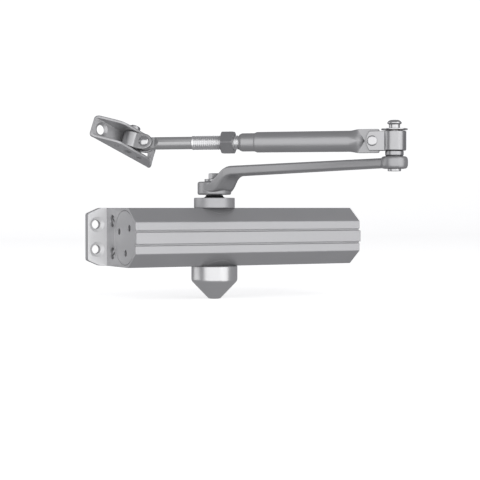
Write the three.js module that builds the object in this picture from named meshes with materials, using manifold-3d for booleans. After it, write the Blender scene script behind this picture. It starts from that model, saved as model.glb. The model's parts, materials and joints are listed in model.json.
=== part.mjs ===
// A surface-mounted door closer with a regular two-piece arm. Millimetres, +Z up.
// X runs along the housing, the door face is the plane y = 0, and the housing stands out along -Y.
// The origin is the centre of the housing's mounting face.
import * as THREE from "three";
import { mergeVertices } from "three/addons/utils/BufferGeometryUtils.js";
import Module from "manifold-3d";

const wasm = await Module();
wasm.setup();

// ---- Driving dimensions ----

// clearances
const runningFit = 0.15; // radial, shafts in bearings and bushes
const seatGap = 0.3; // between faces that rest on each other in a turned group
const faceGap = 0.1; // between faces that rest on each other along Z
const cornerRelief = 0.2; // square end in its socket, each side
const overrun = 1; // how far a cut runs past the face that it opens
const weldDistance = 1e-4;

// housing
const bodyLength = 242;
const boreDiameter = 42;
const plugSeat = 4.5; // how far the end plug's seat is wider than the bore, on radius
const plugWall = 2.5; // metal above and below the plug's seat
const boreToDoor = 54; // bore axis to the mounting face
const frontWall = 1.5; // metal in front of the plug's seat
const frontFlat = 29.8; // height of the flat front face
const chamferDepth = 18;
const ribHeight = 11.2;
const ribProud = 2;
const grooveWidth = 1.7;
const grooveDepth = 1.2;

// mounting lugs
const lugLength = 19;
const lugThickness = 8.5;
const lugCutLength = 12.8;
const lugCutHeight = 5.5;
const mountHoleDiameter = 8.5;
const mountHoleInset = 9.2; // from the lug's end
const mountHoleSpacing = 24;
const countersinkDiameter = 14;
const countersinkDepth = 2.8;

// end plugs and their seals
const plugDepth = 14;
const plugPinHoleDiameter = 6;
const plugPinHoleDepth = 6;
const plugPinCircle = 14.7; // radius
const plugPinTurn = 38; // degrees from the front, for the first hole
const sealSection = 3;
const sealInset = 10.8; // from the end face to the seal's middle

// adjusting valves
const valveToDoor = 23;
const valveSpacing = 30.8;
const valveDiameter = 9;
const valveLength = 22;
const valveNeedle = 8;
const valveRecessDiameter = 11.5;
const valveRecessDepth = 3.5;
const valveSealSection = 2;
const valveSealInset = 13;
const valveSlotWidth = 1.4;
const valveSlotDepth = 1.8;
const valveTipRadius = 1;
const valveTipGap = 1; // needle's end short of its bore's floor

// pinion, its bearings and glands
const pinionX = -27.6;
const toothCount = 10;
const toothModule = 1.9;
const toothBacklash = 0.9;
const toothUndercut = 0.06; // slope of the flank below the base circle
const rackEndLand = 0.2; // rack's end tooth to the slot's end
const pressureAngle = 20;
const gearHeight = 26;
const journalDiameter = 14;
const squareWidth = 10;
const bearingWall = 2.8;
const bearingLength = 11.6;
const thrustWasherThickness = 1.1;
const thrustWasherInset = 0.6; // washer's rim inside the gland's nose
const squareInset = 0.6; // square's end below the hub's top
const noseWall = 1.5;
const stemDiameter = 34;
const stemDepth = 6.2;
const glandDiameter = 39.5;
const glandHeight = 9.7;
const glandChamfer = 0.5;
const sealPocketDepth = 6;
const sealWall = 3.4;
const sealConeHeight = 2.6;
const sealConeWall = 2;
const sealTipWall = 1;

// lower cap
const capDiameter = 44.6;
const capStraight = 14.3;
const capHeight = 31.7;
const capTipDiameter = 11;
const capWall = 3;
const capFloorGap = 1.6; // pinion's lower end to the cap's floor

// rack piston and its springs
const openAngle = 125; // degrees of arm travel that compress the springs
const preloadAngle = 25; // degrees of arm travel the other way
const pistonHeadLeft = 24;
const pistonHeadRight = 22;
const springPocketDepth = 8;
const springPocketDiameter = 37;
const slotEndSlack = 1.2;
const outerSpringWire = 4.5;
const outerSpringRadius = 15.5;
const outerSpringTurns = 8;
const innerSpringWire = 3;
const innerSpringRadius = 9.5;
const innerSpringTurns = 10;
const checkBallDiameter = 6;
const checkBoreDiameter = 8.4;
const checkBoreDepth = 14;
const checkPassageDiameter = 4;
const checkBallRings = 10;
const retainerInset = 1;
const retainerThickness = 3;

// main arm
const armLength = 243; // pinion axis to elbow axis
const armAngle = -78.6; // degrees from +X, seen from above
const hubDiameter = 32.5;
const hubHeight = 12.6;
const hubChamfer = 1.2;
const hubLift = 2.9; // hub's underside above the gland
const neckStart = 14;
const neckEnd = 29;
const barNearLow = 4.5; // bar's underside above the hub's top, at the neck
const barNearThickness = 10.6;
const barFarThickness = 8;
const neckShoulder = 4; // half the length of the bend at the neck's top
const neckShoulderDrop = 1.2;
const neckToeHeight = 3; // neck's top rises this far over the toe
const neckToeLength = 6;
const neckToeEnd = 2; // before neckStart
const neckRootWidening = 2; // each side, at the pinion axis
const planShoulder = 6; // the bar's taper starts this far past the neck
const spotFaceMargin = 0.8; // recess around the arm's washer
const barNearHalfWidth = 10;
const barFarHalfWidth = 7.6;
const eyeDiameter = 22.5;
const eyeHeight = 10.2;
const eyeLift = 6.8; // eye's underside above the hub's top
const armWasherDiameter = 19;
const armWasherThickness = 2.5;
const armScrewAcrossFlats = 10;
const armScrewHead = 5.5;
const armScrewDiameter = 6;
const armScrewReach = 9;
const armScrewHoleDepth = 11;
const hexChamferSlope = 0.6;

// elbow
const elbowPinDiameter = 8;
const elbowFootDiameter = 11;
const elbowFootHeight = 1.9;
const elbowFootChamfer = 0.5;
const spacerDiameter = 15.2;
const spacerHeight = 4.5;
const sleeveDiameter = 19.3;
const sleeveHeight = 16;
const sleeveWall = 3.25;
const elbowWasherDiameter = 21.7;
const elbowWasherThickness = 1.4;
const elbowWasherGap = 0.6; // the dished washer's rim stands off the sleeve
const pinNeckDiameter = 9.4;
const pinNeckHeight = 3.2;
const pinHeadDiameter = 12.1;
const pinHeadHeight = 3.7;
const pinHeadRim = 1;
const elbowEarThickness = 2.4;
const elbowEarEnd = 22.9; // elbow axis to the ear's end
const elbowEarCurve = 0.78; // radius of the ear's end, as a share of the sleeve's height
const tongueRivetDistance = 17.8; // elbow axis to the tongue's rivet
const tongueRivetDiameter = 6;
const tongueRivetHeadDiameter = 8.6;
const tongueRivetHeadHeight = 1.2;

// forearm tube
const forearmAngle = 140.8; // degrees from +X, seen from above
const tongueStart = 12.4; // all distances along the forearm are from the elbow axis
const tongueEnd = 28.9; // where the tongue's full height ends
const tongueThickness = 6;
const tongueHeight = 19.8;
const bulgeStart = 23.9; // where the tube's round end rises out of the tongue
const tubeStart = 36.5;
const tubeEnd = 114.5;
const tubeStartDiameter = 17.4;
const tubeEndDiameter = 17.2;
const tubeBoreClearance = 1.2; // around the rod
const crimpDiameter = 15.3;
const crimpEnd = 129.5;
const crimpStep = 1;
const crimpChamfer = 2.1;
const crimpChamferDepth = 1;
const tubeEndWall = 2; // solid metal at each end of the tube's bore

// lock nut and threaded rod
const nutAcrossFlats = 18;
const nutThickness = 10.8;
const nutGap = 4.5; // from the crimp to the nut
const threadDiameter = 12;
const rodStart = 92;
const threadEnd = 170;
const rodDiameter = 10.6;
const knuckleDistance = 212; // elbow axis to the knuckle's rivet
const rodFlatThickness = 4.6;
const rodEyeDiameter = 10.8;
const rodFlatStart = 9; // before the rivet
const rodFlatRamp = 4;
const rodChamfer = 1;
const threadRunout = 0.6;
const rodRoll = 20; // degrees that the rod is turned in the tube

// knuckle
const knuckleTilt = -10; // degrees
const barrelDistance = 13.2; // knuckle's rivet to the bracket's pivot
const barrelDiameter = 14.6;
const barrelHeight = 13.7;
const barrelWall = 2.7;
const earThickness = 2.6;
const knuckleRivetDiameter = 5;
const knuckleRivetHeadDiameter = 9;
const knuckleRivetHeadHeight = 2.6;

// frame bracket
const bracketTurn = -122.4; // degrees
const bracketLength = 70;
const sheetThickness = 2.5;
const barrelSidePlay = 0.55;
const flangeDepth = 18.8;
const flangeRamp = 17;
const flangeCornerRadius = 4;
const pivotToBack = 11.8; // pivot axis to the bracket's mounting face
const bracketHoleInset = 9.2;
const bracketHoleDiameter = 8.2;
const bracketSinkDiameter = 12.6;
const bracketSinkDepth = 1.6;
const flangeHoleSpacing = 25.6;
const flangeHoleDiameter = 4.2;
const pivotDiameter = 6;
const pivotHeadDiameter = 9.9;
const pivotHeadHeight = 3.4;
const pivotSlotWidth = 1.6;
const pivotSlotDepth = 1.5;
const pivotHeadRounding = 1.1;

// facets
const roundSegments = 32;
const smallSegments = 16;
const sealSides = 6;
const domeSteps = 3;
const outerSpringSteps = 12; // per turn
const innerSpringSteps = 10;
const springSides = 6;

// ---- Derived dimensions ----

const plugDiameter = boreDiameter + 2 * plugSeat;
const bodyHeight = plugDiameter + 2 * plugWall;
const bodyDepth = boreToDoor + plugDiameter / 2 + frontWall;
const bodyTop = bodyHeight / 2;
const endFace = bodyLength / 2;
const lugEnd = endFace + lugLength;
const mountHoleX = lugEnd - mountHoleInset;

const pitchRadius = (toothCount * toothModule) / 2;
const toothPitch = Math.PI * toothModule;
const addendum = toothModule;
const dedendum = 1.25 * toothModule;
const gearTip = pitchRadius + addendum;
const bearingInner = journalDiameter / 2 + runningFit;
const bearingOuter = bearingInner + bearingWall;
const noseRadius = bearingOuter + runningFit + noseWall;
const washerLow = gearHeight / 2 + faceGap;
const noseLow = washerLow + thrustWasherThickness + faceGap;
const glandTop = bodyTop + glandHeight;
const hubBottom = glandTop + hubLift;
const hubTop = hubBottom + hubHeight;
const squareEnd = hubTop - squareInset;

const barLow = hubTop + barNearLow;
const eyeBottom = hubTop + eyeLift;
const eyeTop = eyeBottom + eyeHeight;
const spacerTop = eyeTop + faceGap + spacerHeight;
const sleeveBottom = spacerTop + faceGap;
const sleeveTop = sleeveBottom + sleeveHeight;
const forearmHeight = (sleeveBottom + sleeveTop) / 2;
const elbowWasherLow = sleeveTop + elbowWasherGap;
const elbowWasherTop = elbowWasherLow + elbowWasherThickness;

const pistonRadius = boreDiameter / 2 - runningFit;
const radiansPerDegree = Math.PI / 180;
const slotReach = Math.max(gearTip, noseRadius) + slotEndSlack;
const slotLeft = pinionX - slotReach - openAngle * radiansPerDegree * pitchRadius;
const slotRight = pinionX + slotReach + preloadAngle * radiansPerDegree * pitchRadius;
const pistonLeft = slotLeft - pistonHeadLeft;
const pistonRight = slotRight + pistonHeadRight;

const nutStart = crimpEnd + nutGap;
const earInner = rodFlatThickness / 2 + seatGap;
const earOuter = earInner + earThickness;
const flangeInner = barrelHeight / 2 + barrelSidePlay;
const flangeOuter = flangeInner + sheetThickness;

// ---- Materials ----

function finish(color, roughness, metalness) {
  return new THREE.MeshStandardMaterial({ color, roughness, metalness });
}

const silverPaint = finish(0xb4b4b8, 0.4, 0.7);
const satinSteel = finish(0xa9a9ad, 0.35, 0.9);
const brightSteel = finish(0xd2d2d6, 0.22, 1);
const darkSteel = finish(0x5b5b60, 0.4, 0.9);
const bronze = finish(0xa9814e, 0.4, 0.9);
const blackRubber = finish(0x161616, 0.85, 0);

// ---- Solid helpers ----

function toSolid(geometry) {
  const bare = geometry.clone();
  bare.deleteAttribute("normal");
  bare.deleteAttribute("uv");
  const closed = mergeVertices(bare, weldDistance);
  const vertProperties = closed.attributes.position.array;
  const triVerts = new Uint32Array(closed.index.array);
  return new wasm.Manifold(new wasm.Mesh({ numProp: 3, vertProperties, triVerts }));
}

function toGeometry(solid) {
  const mesh = solid.getMesh();
  const geometry = new THREE.BufferGeometry();
  geometry.setAttribute("position", new THREE.BufferAttribute(new Float32Array(mesh.vertProperties), 3));
  geometry.setIndex(new THREE.BufferAttribute(new Uint32Array(mesh.triVerts), 1));
  return geometry;
}

function cut(base, ...tools) {
  return toGeometry(tools.reduce((solid, tool) => solid.subtract(toSolid(tool)), toSolid(base)));
}

function join(base, ...others) {
  return toGeometry(others.reduce((solid, other) => solid.add(toSolid(other)), toSolid(base)));
}

function common(base, other) {
  return toGeometry(toSolid(base).intersect(toSolid(other)));
}

// A solid of revolution about Z from [radius, height] points, listed anticlockwise.
function turned(profile, segments = roundSegments) {
  const points = profile.map(([radius, height]) => new THREE.Vector2(radius, height));
  if (profile[0][0] > 0) points.push(points[0].clone());
  return new THREE.LatheGeometry(points, segments).rotateX(Math.PI / 2);
}

function disc(radius, low, high, segments = roundSegments) {
  return turned([[0, low], [radius, low], [radius, high], [0, high]], segments);
}

function ring(inner, outer, low, high, segments = roundSegments) {
  return turned([[inner, low], [outer, low], [outer, high], [inner, high]], segments);
}

function outline(points) {
  return new THREE.Shape(points.map(([x, y]) => new THREE.Vector2(x, y)));
}

// A flat shape raised along Z from low to high.
function raised(shape, low, high) {
  const settings = { depth: high - low, bevelEnabled: false, curveSegments: smallSegments / 2 };
  return new THREE.ExtrudeGeometry(shape, settings).translate(0, 0, low);
}

function block(low, high) {
  const size = high.map((value, axis) => value - low[axis]);
  const middle = high.map((value, axis) => (value + low[axis]) / 2);
  return new THREE.BoxGeometry(...size).translate(...middle);
}

// Turns a solid built about Z so that it lies along X: x to y, y to z, z to x.
function alongX(geometry) {
  const axes = [new THREE.Vector3(0, 1, 0), new THREE.Vector3(0, 0, 1), new THREE.Vector3(1, 0, 0)];
  return geometry.applyMatrix4(new THREE.Matrix4().makeBasis(...axes));
}

// The same, so that it lies along Y: x to z, y to x, z to y.
function alongY(geometry) {
  const axes = [new THREE.Vector3(0, 0, 1), new THREE.Vector3(1, 0, 0), new THREE.Vector3(0, 1, 0)];
  return geometry.applyMatrix4(new THREE.Matrix4().makeBasis(...axes));
}

// A side view drawn in X and Z, raised evenly to both sides of y = 0.
function sideways(shape, halfWidth) {
  return raised(shape, -halfWidth, halfWidth).rotateX(Math.PI / 2);
}

// The rising [radius, height] points of a shallow dome, from its rim to just before its top.
function domePoints(radius, low, height) {
  const points = [];
  for (let step = 0; step < domeSteps; step++) {
    const angle = (step / domeSteps) * (Math.PI / 2);
    points.push([radius * Math.cos(angle), low + height * Math.sin(angle)]);
  }
  points.push([0, low + height]);
  return points;
}

function hexagon(acrossFlats) {
  const corner = acrossFlats / 2 / Math.cos(Math.PI / 6);
  const points = [];
  for (let side = 0; side < 6; side++) {
    const angle = (side * Math.PI) / 3;
    points.push([corner * Math.cos(angle), corner * Math.sin(angle)]);
  }
  return outline(points);
}

// A hexagon along Z whose corners are turned off at both faces.
function hexHead(acrossFlats, low, high) {
  const corner = acrossFlats / 2 / Math.cos(Math.PI / 6) + faceGap;
  const chamfer = (corner - acrossFlats / 2) * hexChamferSlope;
  const limit = turned([
    [0, low], [acrossFlats / 2, low], [corner, low + chamfer],
    [corner, high - chamfer], [acrossFlats / 2, high], [0, high],
  ]);
  return common(raised(hexagon(acrossFlats), low, high), limit);
}

// A round seal of the given section, lying about Z.
function roundSeal(middleRadius, section, segments) {
  return new THREE.TorusGeometry(middleRadius, section / 2, sealSides, segments);
}

class Coil extends THREE.Curve {
  constructor(radius, length, turns) {
    super();
    Object.assign(this, { radius, length, turns });
  }

  getPoint(t, target = new THREE.Vector3()) {
    const angle = t * this.turns * 2 * Math.PI;
    return target.set(this.length * t, this.radius * Math.cos(angle), this.radius * Math.sin(angle));
  }
}

// A coil spring lying along X between two faces.
function coilSpring(radius, wire, turns, stepsPerTurn, low, high) {
  const section = new THREE.Shape().absarc(0, 0, wire / 2, 0, 2 * Math.PI);
  const start = low + wire / 2 + seatGap;
  const coil = new Coil(radius, high - low - wire - 2 * seatGap, turns);
  const settings = { steps: turns * stepsPerTurn, extrudePath: coil, curveSegments: springSides / 2 };
  return new THREE.ExtrudeGeometry(section, settings).translate(start, 0, 0);
}

function piece(name, geometry, material, parent) {
  const mesh = new THREE.Mesh(geometry, material);
  mesh.name = name;
  parent.add(mesh);
  return mesh;
}

function placed(parent, x, y, z) {
  const group = new THREE.Group();
  group.position.set(x, y, z);
  parent.add(group);
  return group;
}

// ---- Frames ----

const doorCloser = new THREE.Group();
const boreFrame = placed(doorCloser, 0, -boreToDoor, 0);
const pinionFrame = placed(doorCloser, pinionX, -boreToDoor, 0);

const armFrame = placed(pinionFrame, 0, 0, 0);
armFrame.rotation.z = armAngle * radiansPerDegree;

const elbowFrame = placed(armFrame, armLength, 0, 0);
elbowFrame.rotation.z = (forearmAngle - armAngle) * radiansPerDegree;

const forearmFrame = placed(elbowFrame, 0, 0, forearmHeight);

const rodFrame = placed(forearmFrame, 0, 0, 0);
rodFrame.rotation.x = rodRoll * radiansPerDegree;

const knuckleFrame = placed(rodFrame, knuckleDistance, 0, 0);
knuckleFrame.rotation.y = knuckleTilt * radiansPerDegree;

const bracketFrame = placed(knuckleFrame, barrelDistance, 0, 0);
bracketFrame.rotation.z = bracketTurn * radiansPerDegree;

// ---- Housing ----

function housingSection() {
  const rib = ribHeight / 2;
  const groove = rib + grooveWidth;
  const upper = [
    [0, bodyTop],
    [-(bodyDepth - chamferDepth), bodyTop],
    [-bodyDepth, frontFlat / 2],
    [-bodyDepth, groove],
    [-(bodyDepth - grooveDepth), groove],
    [-(bodyDepth - grooveDepth), rib],
    [-(bodyDepth + ribProud), rib],
  ];
  const lower = upper.map(([y, z]) => [y, -z]).reverse();
  return outline([...upper, ...lower]);
}

// side is 1 for the right lug and -1 for the left one
function lug(side) {
  const root = endFace - lugThickness;
  const shape = outline([
    [side * root, -bodyTop],
    [side * (lugEnd - lugCutLength), -bodyTop],
    [side * lugEnd, lugCutHeight - bodyTop],
    [side * lugEnd, bodyTop - lugCutHeight],
    [side * (lugEnd - lugCutLength), bodyTop],
    [side * root, bodyTop],
  ]);
  return sideways(shape, lugThickness / 2).translate(0, -lugThickness / 2, 0);
}

// A screw hole through a plate along Y, countersunk from the front.
function screwHole(holeDiameter, sinkDiameter, sinkDepth, thickness) {
  const front = thickness;
  const profile = [
    [0, -overrun],
    [holeDiameter / 2, -overrun],
    [holeDiameter / 2, front - sinkDepth],
    [sinkDiameter / 2, front],
    [sinkDiameter / 2, front + overrun],
    [0, front + overrun],
  ];
  return alongY(turned(profile, smallSegments)).rotateZ(Math.PI);
}

function housing() {
  const bar = alongX(raised(housingSection(), -endFace, endFace));
  const holes = [];
  for (const side of [-1, 1]) {
    const seat = alongX(disc(plugDiameter / 2, 0, plugDepth + overrun));
    holes.push(seat.translate(side > 0 ? endFace - plugDepth : -endFace - overrun, -boreToDoor, 0));
    for (const level of [-0.5, 0.5]) {
      const hole = screwHole(mountHoleDiameter, countersinkDiameter, countersinkDepth, lugThickness);
      holes.push(hole.translate(side * mountHoleX, 0, level * mountHoleSpacing));
    }
    const glandHole = disc(stemDiameter / 2 + runningFit, 0, bodyTop + overrun);
    if (side < 0) glandHole.rotateX(Math.PI);
    holes.push(glandHole.translate(pinionX, -boreToDoor, 0));
    const valveBoreEnd = valveRecessDepth + valveLength + valveNeedle;
    const valveBore = disc(valveDiameter / 2 + runningFit, -overrun, valveBoreEnd);
    const valveRecess = disc(valveRecessDiameter / 2, -overrun, valveRecessDepth);
    for (const tool of [valveBore, valveRecess]) {
      holes.push(alongX(tool).translate(-endFace, -valveToDoor, (side * valveSpacing) / 2));
    }
  }
  const bore = alongX(disc(boreDiameter / 2, -endFace, endFace)).translate(0, -boreToDoor, 0);
  return cut(join(bar, lug(-1), lug(1)), bore, ...holes);
}

piece("body_housing", housing(), silverPaint, doorCloser);

// ---- End plugs ----

// the seat's flats, nearer to its axis than its corners
const plugSeatRadius = (plugDiameter / 2) * Math.cos(Math.PI / roundSegments);
const plugRadius = plugSeatRadius - faceGap;
const sealMiddle = plugRadius - sealSection / 2;

// A plug standing on the end face z = 0 and reaching down into its seat.
function endPlug() {
  const grooveFloor = sealMiddle - sealSection / 2 - faceGap;
  const grooveHalf = sealSection / 2 + seatGap;
  const blank = turned([
    [0, -plugDepth], [plugRadius, -plugDepth],
    [plugRadius, -sealInset - grooveHalf], [grooveFloor, -sealInset - grooveHalf],
    [grooveFloor, -sealInset + grooveHalf], [plugRadius, -sealInset + grooveHalf],
    [plugRadius, 0], [0, 0],
  ]);
  const pinHoles = [0, 1, 2].map((index) => {
    const angle = (index * 2 * Math.PI) / 3;
    const hole = disc(plugPinHoleDiameter / 2, -plugPinHoleDepth, overrun, smallSegments);
    return hole.translate(plugPinCircle * Math.cos(angle), plugPinCircle * Math.sin(angle), 0);
  });
  return cut(blank, ...pinHoles);
}

for (const [name, side] of [["left", -1], ["right", 1]]) {
  // the first pin hole is plugPinTurn above the front, seen from the end
  const turn = Math.PI + side * plugPinTurn * radiansPerDegree;
  const facing = (geometry) => {
    if (side < 0) geometry.rotateX(Math.PI);
    return alongX(geometry.rotateZ(turn)).translate(side * endFace, 0, 0);
  };
  piece(`${name}_end_plug`, facing(endPlug()), silverPaint, boreFrame);
  const seal = roundSeal(sealMiddle, sealSection, roundSegments).translate(0, 0, -sealInset);
  piece(`${name}_plug_seal`, facing(seal), blackRubber, boreFrame);
}

// ---- Adjusting valves ----

function valveScrew() {
  const radius = valveDiameter / 2;
  const grooveFloor = radius - valveSealSection;
  const grooveLow = valveSealInset - valveSealSection / 2 - faceGap;
  const grooveHigh = valveSealInset + valveSealSection / 2 + faceGap;
  const needleEnd = valveLength + valveNeedle - valveTipGap;
  const blank = turned([
    [0, 0], [radius, 0], [radius, grooveLow], [grooveFloor, grooveLow],
    [grooveFloor, grooveHigh], [radius, grooveHigh], [radius, valveLength],
    [radius / 2, valveLength], [valveTipRadius, needleEnd], [0, needleEnd],
  ], smallSegments);
  const slotReach = radius + overrun;
  const slotHalf = valveSlotWidth / 2;
  const slot = block([-slotHalf, -slotReach, -overrun], [slotHalf, slotReach, valveSlotDepth]);
  return cut(blank, slot);
}

for (const [name, level] of [["sweep", 0.5], ["latch", -0.5]]) {
  const frame = placed(doorCloser, -endFace + valveRecessDepth / 2, -valveToDoor, level * valveSpacing);
  piece(`${name}_valve`, alongX(valveScrew()), brightSteel, frame);
  const sealRadius = valveDiameter / 2 - valveSealSection / 2 + faceGap / 2;
  const seal = roundSeal(sealRadius, valveSealSection - faceGap, smallSegments);
  piece(`${name}_valve_seal`, alongX(seal.translate(0, 0, valveSealInset)), blackRubber, frame);
}

// ---- Glands, bearings and seals, the same above and below the pinion ----

const bearingLow = noseLow + faceGap;
const bearingHigh = bearingLow + bearingLength;
const sealLow = glandTop - sealPocketDepth;
const sealPocketRadius = bearingInner + sealWall + faceGap;

function glandNut() {
  const stemLow = bodyTop - stemDepth;
  return turned([
    [bearingOuter + runningFit, noseLow], [noseRadius, noseLow], [noseRadius, stemLow],
    [stemDiameter / 2, stemLow], [stemDiameter / 2, bodyTop], [glandDiameter / 2, bodyTop],
    [glandDiameter / 2, glandTop - glandChamfer], [glandDiameter / 2 - glandChamfer, glandTop],
    [sealPocketRadius, glandTop], [sealPocketRadius, sealLow], [bearingInner + faceGap, sealLow],
    [bearingInner + faceGap, bearingHigh + faceGap], [bearingOuter + runningFit, bearingHigh + faceGap],
  ]);
}

// The corner that the housing's chamfer cuts away in front of the pinion, above it or below it.
function chamferWaste(side) {
  const front = boreToDoor - bodyDepth;
  const shape = outline([
    [front, side * bodyTop], [front, (side * frontFlat) / 2], [front + chamferDepth, side * bodyTop],
  ]);
  return alongX(raised(shape, -stemDiameter, stemDiameter));
}

function shaftSeal() {
  const outer = bearingInner + sealWall;
  return turned([
    [bearingInner, sealLow + faceGap], [outer, sealLow + faceGap], [outer, glandTop],
    [bearingInner + sealConeWall, glandTop], [bearingInner + sealTipWall, glandTop + sealConeHeight],
    [bearingInner, glandTop + sealConeHeight],
  ]);
}

for (const [name, side] of [["upper", 1], ["lower", -1]]) {
  const flip = side > 0 ? 0 : Math.PI;
  const bearing = ring(bearingInner, bearingOuter, bearingLow, bearingHigh);
  const washerRim = noseRadius - thrustWasherInset;
  const washer = ring(bearingInner + faceGap, washerRim, washerLow, washerLow + thrustWasherThickness);
  // the stem ends flush with the housing's chamfer
  const gland = cut(glandNut().rotateX(flip), chamferWaste(side));
  piece(`${name}_gland_nut`, gland, silverPaint, pinionFrame);
  piece(`${name}_bearing`, bearing.rotateX(flip), brightSteel, pinionFrame);
  piece(`${name}_thrust_washer`, washer.rotateX(flip), brightSteel, pinionFrame);
  piece(`${name}_shaft_seal`, shaftSeal().rotateX(flip), blackRubber, pinionFrame);
}

// ---- Cap over the lower end of the pinion ----

function pinionCap() {
  const top = -bodyTop - faceGap;
  const straightEnd = -bodyTop - capStraight;
  const tip = -bodyTop - capHeight;
  const tipRadius = capTipDiameter / 2;
  const slope = (capDiameter / 2 - tipRadius) / (straightEnd - tip);
  const boreRadius = glandDiameter / 2 + seatGap;
  const innerFloor = -squareEnd - capFloorGap;
  const innerRadius = tipRadius + slope * (innerFloor - tip) - capWall;
  const coneStart = straightEnd + (boreRadius - (capDiameter / 2 - capWall)) / slope;
  return turned([
    [0, tip], [tipRadius, tip], [capDiameter / 2, straightEnd], [capDiameter / 2, top],
    [boreRadius, top], [boreRadius, coneStart], [innerRadius, innerFloor], [0, innerFloor],
  ]);
}

piece("pinion_cap", pinionCap(), silverPaint, pinionFrame);

// ---- Rack piston ----

const rackTip = pitchRadius - addendum + faceGap;
const rackRoot = pitchRadius + dedendum;
const gapHalf = toothPitch / 4 + toothBacklash / 4;
const flankSlope = Math.tan(pressureAngle * radiansPerDegree);

// The slot's plan, with the rack's teeth along its door side. A gap faces the pinion's tooth.
function slotPlan() {
  const front = -slotReach + slotEndSlack / 2;
  const points = [[slotLeft, front], [slotRight, front], [slotRight, rackTip]];
  const tipHalf = gapHalf + (pitchRadius - rackTip) * flankSlope;
  const rootHalf = gapHalf - dedendum * flankSlope;
  const last = Math.floor((slotRight - pinionX - tipHalf - rackEndLand) / toothPitch);
  const first = Math.ceil((slotLeft - pinionX + tipHalf + rackEndLand) / toothPitch);
  for (let index = last; index >= first; index--) {
    const middle = pinionX + index * toothPitch;
    points.push([middle + tipHalf, rackTip], [middle + rootHalf, rackRoot]);
    points.push([middle - rootHalf, rackRoot], [middle - tipHalf, rackTip]);
  }
  points.push([slotLeft, rackTip]);
  return outline(points);
}

function rackPiston() {
  const blank = alongX(disc(pistonRadius, pistonLeft, pistonRight));
  const slot = raised(slotPlan(), -pistonRadius - overrun, pistonRadius + overrun);
  const pocketFloor = pistonRight - springPocketDepth;
  const pocket = alongX(disc(springPocketDiameter / 2, pocketFloor, pistonRight + overrun));
  const checkFloor = pistonLeft + checkBoreDepth;
  const checkBore = alongX(disc(checkBoreDiameter / 2, pistonLeft - overrun, checkFloor, smallSegments));
  const passage = alongX(disc(checkPassageDiameter / 2, pistonLeft, slotLeft + overrun, smallSegments));
  // above and below the gear the slot is wide enough for the gland noses
  const wide = slotReach - slotEndSlack / 2;
  const low = [slotLeft, -wide, gearHeight / 2];
  const high = [slotRight, wide, pistonRadius + overrun];
  const noseSlots = [0, Math.PI].map((flip) => block(low, high).rotateX(flip));
  return cut(blank, slot, ...noseSlots, pocket, checkBore, passage);
}

piece("rack_piston", rackPiston(), satinSteel, boreFrame);

const ball = new THREE.SphereGeometry(checkBallDiameter / 2, smallSegments, checkBallRings);
ball.translate(pistonLeft + checkBoreDepth - checkBallDiameter / 2 - seatGap, 0, 0);
piece("check_ball", ball, brightSteel, boreFrame);

const retainerRadius = checkBoreDiameter / 2 - runningFit;
const retainer = ring(checkPassageDiameter / 2, retainerRadius, 0, retainerThickness, smallSegments);
retainer.translate(0, 0, pistonLeft + retainerInset);
piece("check_retainer", alongX(retainer), brightSteel, boreFrame);

const springLow = pistonRight - springPocketDepth;
const springHigh = endFace - plugDepth;
const outerSpring = coilSpring(
  outerSpringRadius, outerSpringWire, outerSpringTurns, outerSpringSteps, springLow, springHigh);
const innerSpring = coilSpring(
  innerSpringRadius, innerSpringWire, innerSpringTurns, innerSpringSteps, springLow, springHigh);
piece("outer_spring", outerSpring, darkSteel, boreFrame);
piece("inner_spring", innerSpring, darkSteel, boreFrame);

// ---- Pinion shaft ----

function involute(angle) {
  return Math.tan(angle) - angle;
}

// The half angle of a tooth at a radius: an involute, relieved below its base circle.
function toothHalfAngle(radius) {
  const pressure = pressureAngle * radiansPerDegree;
  const base = pitchRadius * Math.cos(pressure);
  const atPitch = (toothPitch - toothBacklash) / 4 / pitchRadius;
  const reach = Math.max(radius, base);
  const undercut = radius < base ? toothUndercut * (base - radius) : 0;
  return atPitch + involute(pressure) - involute(Math.acos(base / reach)) - undercut;
}

function gearPlan() {
  const root = pitchRadius - dedendum;
  const base = pitchRadius * Math.cos(pressureAngle * radiansPerDegree);
  const radii = [root, base, pitchRadius, (pitchRadius + gearTip) / 2, gearTip];
  const points = [];
  for (let tooth = 0; tooth < toothCount; tooth++) {
    const middle = Math.PI / 2 + (tooth * 2 * Math.PI) / toothCount;
    for (const radius of radii) points.push([radius, middle - toothHalfAngle(radius)]);
    for (const radius of [...radii].reverse()) points.push([radius, middle + toothHalfAngle(radius)]);
  }
  return outline(points.map(([radius, angle]) => [radius * Math.cos(angle), radius * Math.sin(angle)]));
}

function pinionShaft() {
  const journalEnd = hubBottom - seatGap;
  const gear = raised(gearPlan(), -gearHeight / 2, gearHeight / 2);
  const journal = disc(journalDiameter / 2, -journalEnd, journalEnd);
  const half = squareWidth / 2;
  const square = block([-half, -half, -squareEnd], [half, half, squareEnd]);
  square.rotateZ(armAngle * radiansPerDegree);
  const ends = common(square, disc(journalDiameter / 2, -squareEnd, squareEnd));
  const holeFloor = squareEnd - armScrewHoleDepth;
  const tapped = disc(armScrewDiameter / 2 + runningFit, holeFloor, squareEnd + overrun, smallSegments);
  return cut(join(gear, journal, ends), tapped);
}

piece("pinion_shaft", pinionShaft(), satinSteel, pinionFrame);

// ---- Main arm, built along X from the pinion axis ----

const screwBase = hubTop + 2 * faceGap + armWasherThickness;

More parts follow.
